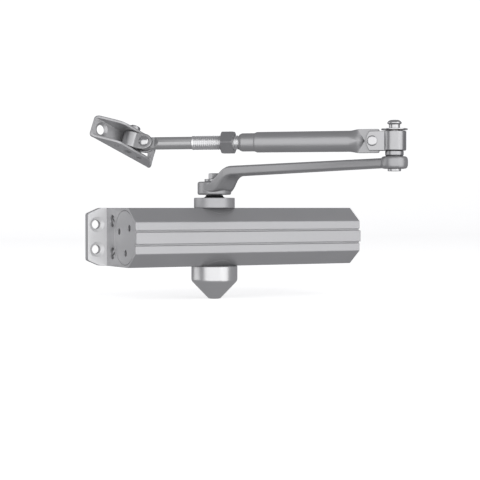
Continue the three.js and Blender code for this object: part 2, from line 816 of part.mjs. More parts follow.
function mainArm() {
  const hub = turned([
    [0, hubBottom], [hubDiameter / 2 - hubChamfer, hubBottom], [hubDiameter / 2, hubBottom + hubChamfer],
    [hubDiameter / 2, hubTop - hubChamfer], [hubDiameter / 2 - hubChamfer, hubTop], [0, hubTop],
  ]);
  const farLow = eyeBottom + (eyeHeight - barFarThickness) / 2;
  const side = outline([
    [0, hubBottom + hubChamfer],
    [neckStart, hubBottom + hubChamfer],
    [neckEnd, barLow],
    [armLength, farLow],
    [armLength, farLow + barFarThickness],
    [neckEnd + neckShoulder, barLow + barNearThickness],
    [neckEnd - neckShoulder, barLow + barNearThickness - neckShoulderDrop],
    [neckStart - neckToeEnd, hubTop + neckToeHeight],
    [neckStart - neckToeEnd - neckToeLength, hubTop],
    [0, hubTop],
  ]);
  const taperStart = neckEnd + planShoulder;
  const rootHalfWidth = barNearHalfWidth + neckRootWidening;
  const plan = outline([
    [0, -rootHalfWidth], [taperStart, -barNearHalfWidth], [armLength, -barFarHalfWidth],
    [armLength, barFarHalfWidth], [taperStart, barNearHalfWidth], [0, rootHalfWidth],
  ]);
  const bar = common(sideways(side, hubDiameter), raised(plan, hubBottom - overrun, eyeTop + hubHeight));
  const eye = disc(eyeDiameter / 2, eyeBottom, eyeTop).translate(armLength, 0, 0);
  const half = squareWidth / 2 + cornerRelief;
  const socket = block([-half, -half, hubBottom - overrun], [half, half, hubTop + overrun]);
  const spotFace = disc(armWasherDiameter / 2 + spotFaceMargin, hubTop, eyeTop + hubHeight);
  const pinHoleRadius = elbowPinDiameter / 2 + runningFit;
  const pinHole = disc(pinHoleRadius, eyeBottom - overrun, eyeTop + overrun, smallSegments);
  return cut(join(hub, bar, eye), socket, spotFace, pinHole.translate(armLength, 0, 0));
}

piece("main_arm", mainArm(), silverPaint, armFrame);

const armWasher = ring(
  armScrewDiameter / 2 + runningFit, armWasherDiameter / 2,
  hubTop + faceGap, hubTop + faceGap + armWasherThickness);
piece("arm_washer", armWasher, satinSteel, armFrame);

const armScrew = join(
  hexHead(armScrewAcrossFlats, screwBase, screwBase + armScrewHead),
  disc(armScrewDiameter / 2, squareEnd - armScrewReach, screwBase + armScrewHead / 2, smallSegments));
piece("arm_screw", armScrew, satinSteel, armFrame);

// ---- Elbow ----

const pinRadius = elbowPinDiameter / 2;
const pinBoreRadius = pinRadius + runningFit;
const bushOuter = sleeveDiameter / 2 - sleeveWall - runningFit;

function elbowPin() {
  const footLow = eyeBottom - faceGap - elbowFootHeight;
  const neckLow = elbowWasherTop + faceGap;
  const headLow = neckLow + pinNeckHeight;
  const footRadius = elbowFootDiameter / 2;
  const headRadius = pinHeadDiameter / 2;
  return turned([
    [0, footLow], [footRadius - elbowFootChamfer, footLow], [footRadius, footLow + elbowFootChamfer],
    [footRadius, eyeBottom - faceGap], [pinRadius, eyeBottom - faceGap],
    [pinRadius, neckLow], [pinNeckDiameter / 2, neckLow], [pinNeckDiameter / 2, headLow],
    [headRadius, headLow], ...domePoints(headRadius, headLow + pinHeadRim, pinHeadHeight - pinHeadRim),
  ], smallSegments);
}

const elbowPinMesh = piece("elbow_pin", elbowPin(), brightSteel, armFrame);
elbowPinMesh.position.x = armLength;

const spacer = ring(pinBoreRadius, spacerDiameter / 2, eyeTop + faceGap, spacerTop, smallSegments);
piece("elbow_spacer", spacer, satinSteel, armFrame).position.x = armLength;

const elbowWasher = ring(pinBoreRadius, elbowWasherDiameter / 2, elbowWasherLow, elbowWasherTop);
piece("elbow_washer", elbowWasher, satinSteel, armFrame).position.x = armLength;

const bush = ring(pinBoreRadius, bushOuter, sleeveBottom + faceGap, sleeveTop - faceGap, smallSegments);
piece("elbow_bush", bush, bronze, elbowFrame);

const elbowEarInner = tongueThickness / 2 + seatGap;
const elbowEarOuter = elbowEarInner + elbowEarThickness;

// The rolled sleeve and its two ears, whose ends are arcs.
function elbowStrap() {
  const outer = sleeveDiameter / 2;
  const inner = outer - sleeveWall;
  const half = sleeveHeight / 2;
  const sleeve = disc(outer, -half, half);
  const shape = new THREE.Shape();
  const curve = elbowEarCurve * sleeveHeight;
  const turn = Math.asin(half / curve);
  shape.moveTo(0, -half);
  shape.absarc(elbowEarEnd - curve, 0, curve, -turn, turn);
  shape.lineTo(0, half);
  const middle = (elbowEarInner + elbowEarOuter) / 2;
  const ears = [-1, 1].map((side) => sideways(shape, elbowEarThickness / 2).translate(0, side * middle, 0));
  const bore = disc(inner, -half - overrun, half + overrun);
  const hole = alongY(disc(tongueRivetDiameter / 2 + seatGap, -outer, outer, smallSegments));
  return cut(join(sleeve, ...ears), bore, hole.translate(tongueRivetDistance, 0, 0));
}

piece("elbow_strap", elbowStrap(), satinSteel, forearmFrame);

// ---- Forearm tube, built along X from the elbow axis ----

// The round tube, whose domed end rises out of the flattened tongue.
function forearmTube() {
  const half = tongueThickness / 2;
  const high = tongueHeight / 2;
  const round = tubeStartDiameter / 2;
  const crimp = crimpDiameter / 2;
  const rising = domePoints(round, 0, tubeStart - bulgeStart);
  const dome = rising.map(([radius, rise]) => [radius, tubeStart - rise]).reverse();
  const tube = alongX(turned([
    ...dome, [tubeEndDiameter / 2, tubeEnd], [crimp, tubeEnd + crimpStep],
    [crimp, crimpEnd - crimpChamfer], [crimp - crimpChamferDepth, crimpEnd], [0, crimpEnd],
  ]));
  const rootEnd = tubeStart + overrun;
  const rootHigh = round - seatGap;
  const tongue = sideways(outline([
    [tongueStart, -high], [tongueEnd, -high], [rootEnd, -rootHigh],
    [rootEnd, rootHigh], [tongueEnd, high], [tongueStart, high],
  ]), half);
  const boreEnd = tubeEnd - tubeEndWall;
  const boreRadius = threadDiameter / 2 + tubeBoreClearance;
  const bore = alongX(disc(boreRadius, tubeStart + tubeEndWall, boreEnd));
  const thread = alongX(disc(threadDiameter / 2 + seatGap, boreEnd - overrun, crimpEnd + overrun));
  const rivetHole = alongY(disc(tongueRivetDiameter / 2 + seatGap, -high, high, smallSegments));
  return cut(join(tube, tongue), bore, thread, rivetHole.translate(tongueRivetDistance, 0, 0));
}

piece("forearm_tube", forearmTube(), silverPaint, forearmFrame);

// A rivet along Y with a domed head at each end, its heads seatGap off the ears.
function domedRivet(shankRadius, headRadius, headHeight, grip) {
  const seat = grip / 2 + seatGap;
  const top = domePoints(headRadius, seat, headHeight);
  const bottom = top.map(([radius, height]) => [radius, -height]).reverse();
  const shape = [...bottom, [shankRadius, -seat], [shankRadius, seat], ...top];
  return alongY(turned(shape, smallSegments));
}

const tongueRivet = domedRivet(
  tongueRivetDiameter / 2, tongueRivetHeadDiameter / 2, tongueRivetHeadHeight, 2 * elbowEarOuter);
piece("tongue_rivet", tongueRivet, brightSteel, forearmFrame).position.x = tongueRivetDistance;

const nut = cut(
  hexHead(nutAcrossFlats, 0, nutThickness),
  disc(threadDiameter / 2 + seatGap, -overrun, nutThickness + overrun));
piece("lock_nut", alongX(nut), satinSteel, forearmFrame).position.x = nutStart;

// ---- Threaded rod ----

// The metal beside the rod's flat end, whose outline is drawn in X and Y.
function flatEndWaste() {
  const flat = rodFlatThickness / 2;
  const start = knuckleDistance - rodFlatStart;
  const clear = rodDiameter / 2 + seatGap;
  const waste = (side) => outline([
    [knuckleDistance + overrun, side * flat], [start, side * flat], [start - rodFlatRamp, side * clear],
    [start - rodFlatRamp, side * rodDiameter], [knuckleDistance + overrun, side * rodDiameter],
  ]);
  return [-1, 1].map((side) => raised(waste(side), -rodDiameter, rodDiameter));
}

function threadedRod() {
  const flat = rodFlatThickness / 2;
  const thread = threadDiameter / 2;
  const round = alongX(turned([
    [0, rodStart], [thread - rodChamfer, rodStart], [thread, rodStart + rodChamfer],
    [thread, threadEnd], [rodDiameter / 2, threadEnd + threadRunout],
    [rodDiameter / 2, knuckleDistance], [0, knuckleDistance],
  ]));
  const eye = alongY(disc(rodEyeDiameter / 2, -flat, flat, smallSegments)).translate(knuckleDistance, 0, 0);
  const hole = alongY(disc(knuckleRivetDiameter / 2 + seatGap, -rodDiameter, rodDiameter, smallSegments));
  return cut(join(cut(round, ...flatEndWaste()), eye), hole.translate(knuckleDistance, 0, 0));
}

piece("threaded_rod", threadedRod(), satinSteel, rodFrame);

const knuckleRivet = domedRivet(
  knuckleRivetDiameter / 2, knuckleRivetHeadDiameter / 2, knuckleRivetHeadHeight, 2 * earOuter);
piece("knuckle_rivet", knuckleRivet, brightSteel, rodFrame).position.x = knuckleDistance;

// ---- Knuckle: a rolled barrel about the pivot, with an ear each side of the rod's eye ----

function knuckleStrap() {
  const half = barrelHeight / 2;
  const barrelOuter = barrelDiameter / 2;
  const barrelInner = barrelOuter - barrelWall;
  const barrel = disc(barrelOuter, -half, half).translate(barrelDistance, 0, 0);
  const shape = new THREE.Shape();
  shape.moveTo(barrelDistance, half);
  shape.lineTo(0, half);
  shape.absarc(0, 0, half, Math.PI / 2, (3 * Math.PI) / 2);
  shape.lineTo(barrelDistance, -half);
  const middle = (earInner + earOuter) / 2;
  const ears = [-1, 1].map((side) => sideways(shape, earThickness / 2).translate(0, side * middle, 0));
  const bore = disc(barrelInner, -half - overrun, half + overrun).translate(barrelDistance, 0, 0);
  const holeEnd = earOuter + overrun;
  const hole = alongY(disc(knuckleRivetDiameter / 2 + seatGap, -holeEnd, holeEnd, smallSegments));
  return cut(join(barrel, ...ears), bore, hole);
}

piece("knuckle_strap", knuckleStrap(), satinSteel, knuckleFrame);

const knuckleBushOuter = barrelDiameter / 2 - barrelWall - seatGap;
const knuckleBushHalf = barrelHeight / 2 - seatGap;
const knuckleBush = ring(
  pivotDiameter / 2 + seatGap, knuckleBushOuter, -knuckleBushHalf, knuckleBushHalf, smallSegments);
piece("knuckle_bush", knuckleBush, bronze, knuckleFrame).position.x = barrelDistance;

// ---- Frame bracket: a bent channel about the pivot axis, its back towards +Y ----

const bracketBack = pivotToBack;
const bracketWeb = pivotToBack - sheetThickness;
const bracketFront = pivotToBack - flangeDepth;
const bracketEnd = bracketLength / 2;

function flangeShape() {
  const run = bracketEnd - flangeRamp;
  const slope = (bracketWeb - bracketFront) / flangeRamp;
  const inset = flangeCornerRadius;
  const shape = new THREE.Shape();
  shape.moveTo(-bracketEnd, bracketBack);
  shape.lineTo(-bracketEnd, bracketWeb);
  shape.lineTo(-run - inset, bracketFront + inset * slope);
  shape.quadraticCurveTo(-run, bracketFront, -run + inset, bracketFront);
  shape.lineTo(run - inset, bracketFront);
  shape.quadraticCurveTo(run, bracketFront, run + inset, bracketFront + inset * slope);
  shape.lineTo(bracketEnd, bracketWeb);
  shape.lineTo(bracketEnd, bracketBack);
  return shape;
}

function frameBracket() {
  const web = block([-bracketEnd, bracketWeb, -flangeOuter], [bracketEnd, bracketBack, flangeOuter]);
  const flanges = [
    raised(flangeShape(), -flangeOuter, -flangeInner),
    raised(flangeShape(), flangeInner, flangeOuter),
  ];
  const holeEnd = flangeOuter + overrun;
  const holes = [disc(pivotDiameter / 2 + seatGap, -holeEnd, holeEnd, smallSegments)];
  for (const side of [-1, 1]) {
    const screw = screwHole(bracketHoleDiameter, bracketSinkDiameter, bracketSinkDepth, sheetThickness);
    holes.push(screw.translate(side * (bracketEnd - bracketHoleInset), bracketBack, 0));
    const small = disc(flangeHoleDiameter / 2, -holeEnd, overrun - flangeInner, smallSegments);
    holes.push(small.translate((side * flangeHoleSpacing) / 2, 0, 0));
  }
  return cut(join(web, ...flanges), ...holes);
}

piece("frame_bracket", frameBracket(), silverPaint, bracketFrame);

function pivotScrew() {
  const headLow = flangeOuter + seatGap;
  const headTop = headLow + pivotHeadHeight;
  const radius = pivotHeadDiameter / 2;
  const rim = domePoints(pivotHeadRounding, headTop - pivotHeadRounding, pivotHeadRounding);
  const rounded = rim.map(([reach, height]) => [radius - pivotHeadRounding + reach, height]);
  const screw = turned([
    [0, -flangeOuter], [pivotDiameter / 2, -flangeOuter], [pivotDiameter / 2, headLow],
    [radius, headLow], ...rounded, [0, headTop],
  ], smallSegments);
  const reach = radius + overrun;
  const slotHalf = pivotSlotWidth / 2;
  const slot = block([-reach, -slotHalf, headTop - pivotSlotDepth], [reach, slotHalf, headTop + overrun]);
  return cut(screw, slot);
}

piece("pivot_screw", pivotScrew(), satinSteel, bracketFrame);

export default doorCloser;
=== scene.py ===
"""The looks of a surface-mounted door closer: a ribbed housing with end lugs, a cap below it, and a folding
two-piece arm that ends in a bent frame bracket. Metres, +Z up, X along the housing, the door behind +Y."""
import json
import math

import bmesh
import bpy
import numpy as np
from mathutils.geometry import delaunay_2d_cdt
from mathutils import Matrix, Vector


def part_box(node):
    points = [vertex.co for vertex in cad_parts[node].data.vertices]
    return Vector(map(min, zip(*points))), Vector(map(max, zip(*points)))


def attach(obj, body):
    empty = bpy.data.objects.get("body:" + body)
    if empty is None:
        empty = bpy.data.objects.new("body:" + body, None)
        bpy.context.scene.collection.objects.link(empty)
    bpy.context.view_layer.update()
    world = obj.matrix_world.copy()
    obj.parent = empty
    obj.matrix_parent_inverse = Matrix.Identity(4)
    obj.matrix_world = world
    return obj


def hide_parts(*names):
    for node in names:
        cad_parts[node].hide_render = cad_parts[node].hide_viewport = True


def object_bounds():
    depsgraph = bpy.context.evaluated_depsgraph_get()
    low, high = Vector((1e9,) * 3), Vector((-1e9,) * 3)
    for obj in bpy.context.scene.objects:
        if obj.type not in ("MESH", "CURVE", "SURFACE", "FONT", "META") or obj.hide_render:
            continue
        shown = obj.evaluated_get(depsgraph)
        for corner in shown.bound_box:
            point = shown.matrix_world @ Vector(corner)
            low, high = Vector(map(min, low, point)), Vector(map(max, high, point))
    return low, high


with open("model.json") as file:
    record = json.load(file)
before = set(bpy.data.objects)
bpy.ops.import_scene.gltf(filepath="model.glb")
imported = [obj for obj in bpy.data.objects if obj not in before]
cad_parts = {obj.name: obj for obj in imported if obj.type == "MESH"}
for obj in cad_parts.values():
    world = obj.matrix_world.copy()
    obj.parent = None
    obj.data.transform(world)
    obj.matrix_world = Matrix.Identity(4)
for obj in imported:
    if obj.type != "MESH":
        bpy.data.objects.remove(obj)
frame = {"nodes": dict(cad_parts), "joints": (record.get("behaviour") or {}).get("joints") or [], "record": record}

bl_info = {
    "name": "Door closer",
    "version": (1, 0, 0),
    "blender": (4, 5, 0),
    "location": "3D View > Sidebar > Door closer",
    "description": "Builds the finished pieces of a surface-mounted door closer around its packed frame",
    "category": "Object",
}

FRAME_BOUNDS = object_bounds()

JOINTS = {joint["name"]: joint for joint in frame["joints"]}
MOUNTS = {mount["name"]: mount for mount in frame["record"]["mounts"]}

WELD = 2e-6  # vertices nearer than this become one
SMOOTH_ANGLE = math.radians(32)  # edges sharper than this stay sharp
FLAT_ANGLE = math.radians(0.2)  # faces nearer than this to one plane become one face
BURIED = 0.0005  # how far a part reaches into the one that it grows from
SHY = 0.00002  # keeps two parts' faces from lying in one plane
GAP = 0.0001  # between two parts' faces that meet
FIT = 0.00015  # between a turned part and its seat, on the radius
MOUTH = 0.0004  # width and depth of the chamfer at a bored hole's mouth
SIDE_SHARE = 0.48  # the most of a side that the curve at one of its ends takes up
CORNER_STEPS = 5
ROUND = 96  # facets around a large round part
SMALL_ROUND = 48


# ---- Properties ----

def length(name, description, millimetres):
    """A length property whose default is given in millimetres."""
    return bpy.props.FloatProperty(
        name=name, description=description, default=millimetres / 1000, unit="LENGTH", precision=5)


def tint(name, description, default):
    """A colour property."""
    return bpy.props.FloatVectorProperty(
        name=name, description=description, default=default, size=3, min=0, max=1, subtype="COLOR")


def share(name, description, default):
    """A property between nought and one."""
    return bpy.props.FloatProperty(
        name=name, description=description, default=default, min=0, max=1, subtype="FACTOR")


class CloserFinishes(bpy.types.PropertyGroup):
    silver: tint("Silver paint", "Colour of the metallic paint on the housing", (0.455, 0.455, 0.464))
    silver_roughness: share("Paint roughness", "How matt the paint is", 0.42)
    grey: tint("Grey paint", "Colour of the darker paint on the arms", (0.37, 0.37, 0.377))
    plated: tint("Plated", "Colour of the cap", (0.62, 0.62, 0.625))
    # a paler colour for the lugs' front faces than for the rest of the housing
    machined: tint("Machined", "Colour of the lugs' machined faces", (0.82, 0.82, 0.825))
    thread: tint("Thread", "Colour of the rod's thread", (0.74, 0.74, 0.745))
    rod: tint("Plain rod", "Colour of the rod beside its thread", (0.42, 0.42, 0.425))
    satin: tint("Satin steel", "Colour of the formed steel", (0.42, 0.42, 0.427))
    satin_roughness: share("Steel roughness", "How matt the formed steel is", 0.3)
    bright: tint("Bright steel", "Colour of rivets and pins", (0.56, 0.56, 0.567))
    bright_roughness: share("Bright roughness", "How matt the rivets, pins and threads are", 0.2)
    dark: tint("Dark steel", "Colour of the springs", (0.10, 0.10, 0.11))
    bronze: tint("Bronze", "Colour of the bushes", (0.42, 0.25, 0.10))
    rubber: tint("Rubber", "Colour of the seals", (0.012, 0.012, 0.013))


class CloserHousing(bpy.types.PropertyGroup):
    length: length("Length", "End face to end face", 242)
    height: length("Height", "Top to bottom", 56)
    depth: length("Depth", "Door to the flat front", 81)
    chamfer: length("Chamfer depth", "How far back the two front chamfers reach", 18)
    front_flat: length("Front flat", "Height of the flat front", 29.8)
    rib_height: length("Rib height", "Height of the raised band along the front", 11.2)
    rib_proud: length("Rib proud", "How far the band stands out", 2)
    groove_width: length("Groove width", "Width of the groove above and below the band", 1.7)
    groove_depth: length("Groove depth", "Depth of the grooves", 2.2)
    edge: length("Edge", "Rounding of the housing's edges", 0.8)
    bore: length("Bore", "Diameter of the cylinder bore", 42)
    bore_to_door: length("Bore to door", "Bore axis to the mounting face", 54)
    lug_length: length("Lug length", "End face to the lug's end", 19)
    lug_thickness: length("Lug thickness", "Thickness of each lug", 8.5)
    lug_cut_length: length("Lug cut length", "Length of the cut at each outer corner", 12.8)
    lug_cut_height: length("Lug cut height", "Height of the cut at each outer corner", 5.5)
    screw_hole: length("Screw hole", "Diameter of each screw hole", 8.5)
    countersink: length("Countersink", "Diameter of each countersink", 14)
    countersink_depth: length("Countersink depth", "Depth of each countersink", 2.8)
    screw_inset: length("Screw inset", "Screw hole to the lug's end", 9.2)
    screw_spacing: length("Screw spacing", "Between the upper and lower screw holes", 24)


class CloserEnds(bpy.types.PropertyGroup):
    plug: length("Plug", "Diameter of each end plug", 51)
    plug_depth: length("Plug depth", "How far each end plug reaches in", 14)
    plug_edge: length("Plug edge", "Easing of each end plug's rim", 0.5)
    pin_hole: length("Pin hole", "Diameter of a plug's spanner holes", 6)
    pin_hole_depth: length("Pin hole depth", "Depth of the spanner holes' straight walls", 5.5)
    pin_point_depth: length("Pin point depth", "Depth of the points at the spanner holes' floors", 6.5)
    pin_circle: length("Pin circle", "Radius of the circle of spanner holes", 14.7)
    valve: length("Valve", "Diameter of each adjusting screw", 9)
    valve_recess: length("Valve recess", "Diameter of the recess around each adjusting screw", 11.5)
    valve_recess_depth: length("Recess depth", "Depth of the recess", 3.5)
    valve_hole_depth: length("Valve hole depth", "Depth of the hole below the recess", 31)
    valve_length: length("Valve length", "Length of each adjusting screw", 29)
    valve_spacing: length("Valve spacing", "Between the two adjusting screws", 30.8)
    valve_to_door: length("Valve to door", "Adjusting screws' axes to the mounting face", 23)
    slot_width: length("Slot width", "Width of the screwdriver slot", 1.4)
    slot_depth: length("Slot depth", "Depth of the screwdriver slot", 1.8)


class CloserPinion(bpy.types.PropertyGroup):
    gland: length("Gland", "Diameter of the gland's collar", 39.5)
    gland_height: length("Gland height", "Height of the collar", 9.7)
    stem: length("Stem", "Diameter of the gland's threaded stem", 34)
    journal: length("Journal", "Diameter of the pinion's journal", 14)
    cap: length("Cap", "Diameter of the lower cap", 44.6)
    cap_straight: length("Cap straight", "Height of the cap's straight wall", 14.3)
    cap_height: length("Cap height", "Height of the whole cap", 31.7)
    cap_tip: length("Cap tip", "Diameter of the cap's flat tip", 11)
    cap_wall: length("Cap wall", "Thickness of the cap's wall", 3)


class CloserArm(bpy.types.PropertyGroup):
    hub: length("Hub", "Diameter of the hub", 32.5)
    hub_lift: length("Hub lift", "Hub's underside above the gland", 2.9)
    hub_height: length("Hub height", "Height of the hub", 12.6)
    eye: length("Eye", "Diameter of the eye at the elbow", 22.5)
    eye_lift: length("Eye lift", "Hub's top to the eye's underside", 6.8)
    eye_height: length("Eye height", "Height of the eye", 10.2)
    eye_hole: length("Eye hole", "Diameter of the hole for the elbow's pin", 8.8)
    near_width: length("Width at the hub", "Width of the bar near the hub", 20)
    far_width: length("Width at the elbow", "Width of the bar near the elbow", 15.2)
    near_thickness: length("Thickness at the hub", "Thickness of the bar near the hub", 10.6)
    far_thickness: length("Thickness at the elbow", "Thickness of the bar near the elbow", 8)
    washer: length("Washer", "Diameter of the washer on the hub", 19)
    washer_thickness: length("Washer thickness", "Thickness of the washer on the hub", 2.5)
    screw_flats: length("Screw flats", "Across the flats of the hub's screw", 10)
    screw_height: length("Screw height", "Height of the hub screw's head", 5.5)


class CloserElbow(bpy.types.PropertyGroup):
    sleeve: length("Sleeve", "Diameter of the sleeve on the elbow pin", 19.3)
    sleeve_height: length("Sleeve height", "Height of the sleeve", 16)
    sleeve_wall: length("Sleeve wall", "Thickness of the sleeve's wall", 3.25)
    spacer: length("Spacer", "Diameter of the spacer below the sleeve", 15.2)
    washer: length("Washer", "Diameter of the dished washer above the sleeve", 21.7)
    pin_head: length("Pin head", "Diameter of the pin's riveted head", 12.1)
    ear_gap: length("Ear gap", "Between the strap's two ears", 6.6)
    ear_thickness: length("Ear thickness", "Thickness of each ear", 2.4)
    ear_end: length("Ear end", "Elbow axis to the ears' ends", 22.9)
    rivet_head: length("Rivet head", "Diameter of the rivet's head", 8.6)


class CloserForearm(bpy.types.PropertyGroup):
    tongue_height: length("Tongue height", "Height of the tube's flattened end", 19.8)
    tongue_thickness: length("Tongue thickness", "Thickness of the flattened end", 6)
    tongue_start: length("Tongue start", "Elbow axis to the flattened end", 12.4)
    chevron_apex: length("Chevron apex", "Elbow axis to the chevron's point", 23.9)
    chevron_shoulder: length("Chevron shoulder", "Elbow axis to the chevron's upper and lower ends", 29.4)
    tube_start: length("Tube start", "Elbow axis to where the tube is round", 37)
    tube_end: length("Tube end", "Elbow axis to the crimp", 114.5)
    crimp_end: length("Crimp end", "Elbow axis to the tube's mouth", 129.5)
    tube_near: length("Tube at the elbow", "Diameter of the tube near the elbow", 17.4)
    tube_far: length("Tube at the crimp", "Diameter of the tube near the crimp", 17.2)
    crimp: length("Crimp", "Diameter of the crimped end", 15.3)
    nut_flats: length("Nut flats", "Across the flats of the lock nut", 18)
    nut_thickness: length("Nut thickness", "Thickness of the lock nut", 10.8)
    thread: length("Thread", "Diameter of the rod's thread", 12)
    pitch: length("Pitch", "Pitch of the rod's thread", 1.75)
    rod: length("Rod", "Diameter of the plain part of the rod", 10.6)


class CloserFoot(bpy.types.PropertyGroup):
    barrel: length("Barrel", "Diameter of the knuckle's barrel", 14.6)
    barrel_height: length("Barrel height", "Height of the knuckle's barrel", 13.7)
    ear_thickness: length("Ear thickness", "Thickness of each knuckle ear, half the gap between them", 2.6)
    knuckle_rivet_head: length("Knuckle rivet head", "Diameter of the knuckle rivet's head", 9)
    bracket_length: length("Bracket length", "Length of the bracket", 70)
    sheet: length("Sheet", "Thickness of the bracket's sheet", 2.5)
    flange_depth: length("Flange depth", "Depth of the bracket's flanges", 18.8)
    ramp: length("Ramp", "Length over which the flanges climb from each end", 17)
    screw_inset: length("Screw inset", "Screw hole to the bracket's end", 9.2)
    pivot_hole_spacing: length("Pivot hole spacing", "Between the two spare holes beside the pivot", 25.6)
    bend: length("Bend", "Outer radius of the bracket's bends", 3)
    pivot_to_back: length("Pivot to back", "Pivot axis to the bracket's mounting face", 11.8)
    screw_hole: length("Screw hole", "Diameter of the bracket's screw holes", 8.2)
    countersink: length("Countersink", "Diameter of their countersinks", 12.6)
    pivot_head: length("Pivot head", "Diameter of the pivot screw's head", 9.9)
    pivot_head_height: length("Pivot head height", "Height of the pivot screw's head", 3.6)


class CloserStage(bpy.types.PropertyGroup):
    floor: tint("Floor", "Colour of the floor and backdrop", (0.90, 0.90, 0.90))
    surround: tint("Surround", "Colour of the dim light all around", (0.34, 0.34, 0.352))
    lens: bpy.props.FloatProperty(name="Lens", description="Focal length", default=97.3, unit="CAMERA")


# ---- Shapes, each a pair of arrays: vertices, and a list of faces ----

def corner_curves(corners, radius, closed=True, steps=CORNER_STEPS):
    """A polyline, or each of a stack of them, with a curve at each corner. A corner P whose sides leave
    towards A and B becomes (1 - t)^2 a + 2t(1 - t) P + t^2 b, where a and b lie on the sides, radius from P."""
    to_before = np.roll(corners, 1, axis=-2) - corners
    to_after = np.roll(corners, -1, axis=-2) - corners
    before = np.linalg.norm(to_before, axis=-1)
    after = np.linalg.norm(to_after, axis=-1)
    reach = np.minimum(radius, SIDE_SHARE * np.minimum(before, after))
    if not closed:
        reach[..., [0, -1]] = 0
    start = corners + to_before * (reach / np.maximum(before, WELD))[..., None]
    end = corners + to_after * (reach / np.maximum(after, WELD))[..., None]
    t = np.linspace(0, 1, steps)[:, None]
    curve = ((1 - t) ** 2 * start[..., None, :] + 2 * t * (1 - t) * corners[..., None, :]
             + t ** 2 * end[..., None, :])
    return curve.reshape(*corners.shape[:-2], -1, corners.shape[-1])


def softened(corners, radius, closed=True, steps=CORNER_STEPS):
    """A polyline with its corners eased as in corner_curves, less the points that repeat."""
    curve = corner_curves(np.asarray(corners, float), radius, closed, steps)
    step = np.linalg.norm(curve - np.roll(curve, 1, axis=0), axis=1)
    keep = step > WELD
    if not closed:
        keep[0] = True
    return curve[keep]


def skin(points, ring=False):
    """Faces over a grid of points, rows by columns. The columns close on themselves, and so do the rows
    where ring is true."""
    rows, columns = points.shape[:2]
    row = np.arange(rows if ring else rows - 1)[:, None]
    column = np.arange(columns)[None, :]
    next_row = (row + 1) % rows
    next_column = (column + 1) % columns
    faces = np.stack(np.broadcast_arrays(
        row * columns + column, row * columns + next_column,
        next_row * columns + next_column, next_row * columns + column), axis=-1)
    return points.reshape(-1, 3), faces.reshape(-1, 4).tolist()


def turned(profile, facets=ROUND, ring=False):
    """A profile of (radius, height) points carried around Z: (r cos a, r sin a, h)."""
    profile = np.asarray(profile, float)
    angle = np.linspace(0, 2 * math.pi, facets, endpoint=False)
    radius = profile[:, :1]
    height = np.broadcast_to(profile[:, 1:], (len(profile), facets))
    return skin(np.stack([radius * np.cos(angle), radius * np.sin(angle), height], axis=-1), ring)


def soft_turned(profile, edge, facets=ROUND, ring=False):
    """A turned part whose profile has eased corners."""
    return turned(softened(profile, edge, closed=ring), facets, ring)


def circle(radius, middle=(0, 0), facets=SMALL_ROUND, hole=False):
    """A round loop, listed clockwise for a hole and anticlockwise for a rim."""
    angle = np.linspace(0, 2 * math.pi, facets, endpoint=False) * (-1 if hole else 1)
    return np.column_stack([middle[0] + radius * np.cos(angle), middle[1] + radius * np.sin(angle)])


def inset(loop, distance):
    """The loop moved to its left by distance, along the bisector of each corner."""
    before = loop - np.roll(loop, 1, axis=0)
    after = np.roll(loop, -1, axis=0) - loop
    before /= np.linalg.norm(before, axis=1)[:, None]
    after /= np.linalg.norm(after, axis=1)[:, None]
    along = before + after
    along /= np.linalg.norm(along, axis=1)[:, None]
    left = np.column_stack([-along[:, 1], along[:, 0]])
    lean = np.clip(np.sum(left * np.column_stack([-after[:, 1], after[:, 0]]), axis=1), 0.5, 1)
    return loop + left * (distance / lean)[:, None]


def wall(loop, steps):
    """A wall along a loop. Each step is (distance into the material, height)."""
    rings = [np.column_stack([inset(loop, into), np.full(len(loop), high)]) for into, high in steps]
    return skin(np.stack(rings))


def filled(loops, height):
    """A flat face between loops at one height: a Delaunay triangulation that keeps the loops' sides, less
    the triangles whose middle is inside the loops an even number of times."""
    counts = [len(loop) for loop in loops]
    first = np.cumsum([0] + counts[:-1])
    edges = np.concatenate([
        np.column_stack([np.arange(n), (np.arange(n) + 1) % n]) + start for n, start in zip(counts, first)])
    points = np.concatenate(loops)
    result = delaunay_2d_cdt(points.tolist(), edges.tolist(), [], 0, 1e-9)
    flat = np.array([tuple(point) for point in result[0]])
    triangles = np.array(result[2])
    middle = flat[triangles].mean(axis=1)[:, None, :]
    start, end = points[edges[:, 0]][None], points[edges[:, 1]][None]
    spans = (start[..., 1] > middle[..., 1]) != (end[..., 1] > middle[..., 1])
    rise = np.where(end[..., 1] == start[..., 1], 1, end[..., 1] - start[..., 1])
    crossing = start[..., 0] + (middle[..., 1] - start[..., 1]) * (end[..., 0] - start[..., 0]) / rise
    inside = np.sum(spans & (middle[..., 0] < crossing), axis=1) % 2 == 1
    return np.column_stack([flat, np.full(len(flat), height)]), triangles[inside].tolist()


def rim_steps(low, high, edge):
    """A wall's steps from the high face down to the low one, with a quarter circle at each: at the angle a,
    edge (1 - sin a) into the material and edge (1 - cos a) from the face."""
    quarter = np.linspace(0, math.pi / 2, CORNER_STEPS)
    into = edge * (1 - np.sin(quarter))
    drop = edge * (1 - np.cos(quarter))
    return list(zip(into, high - drop)) + list(zip(into[::-1], low + drop[::-1]))


def slab(outer, low, high, edge, holes=()):
    """A flat part from low to high along Z. Its rim's corners are eased by edge at both faces, and each hole
    is (loop, steps) with its wall's steps from the high face down to the low one."""
    parts = [wall(outer, rim_steps(low, high, edge))] + [wall(loop, steps) for loop, steps in holes]
    top = [inset(outer, edge)] + [inset(loop, steps[0][0]) for loop, steps in holes]
    bottom = [inset(outer, edge)] + [inset(loop, steps[-1][0]) for loop, steps in holes]
    return joined(*parts, filled(top, high), filled(bottom, low))


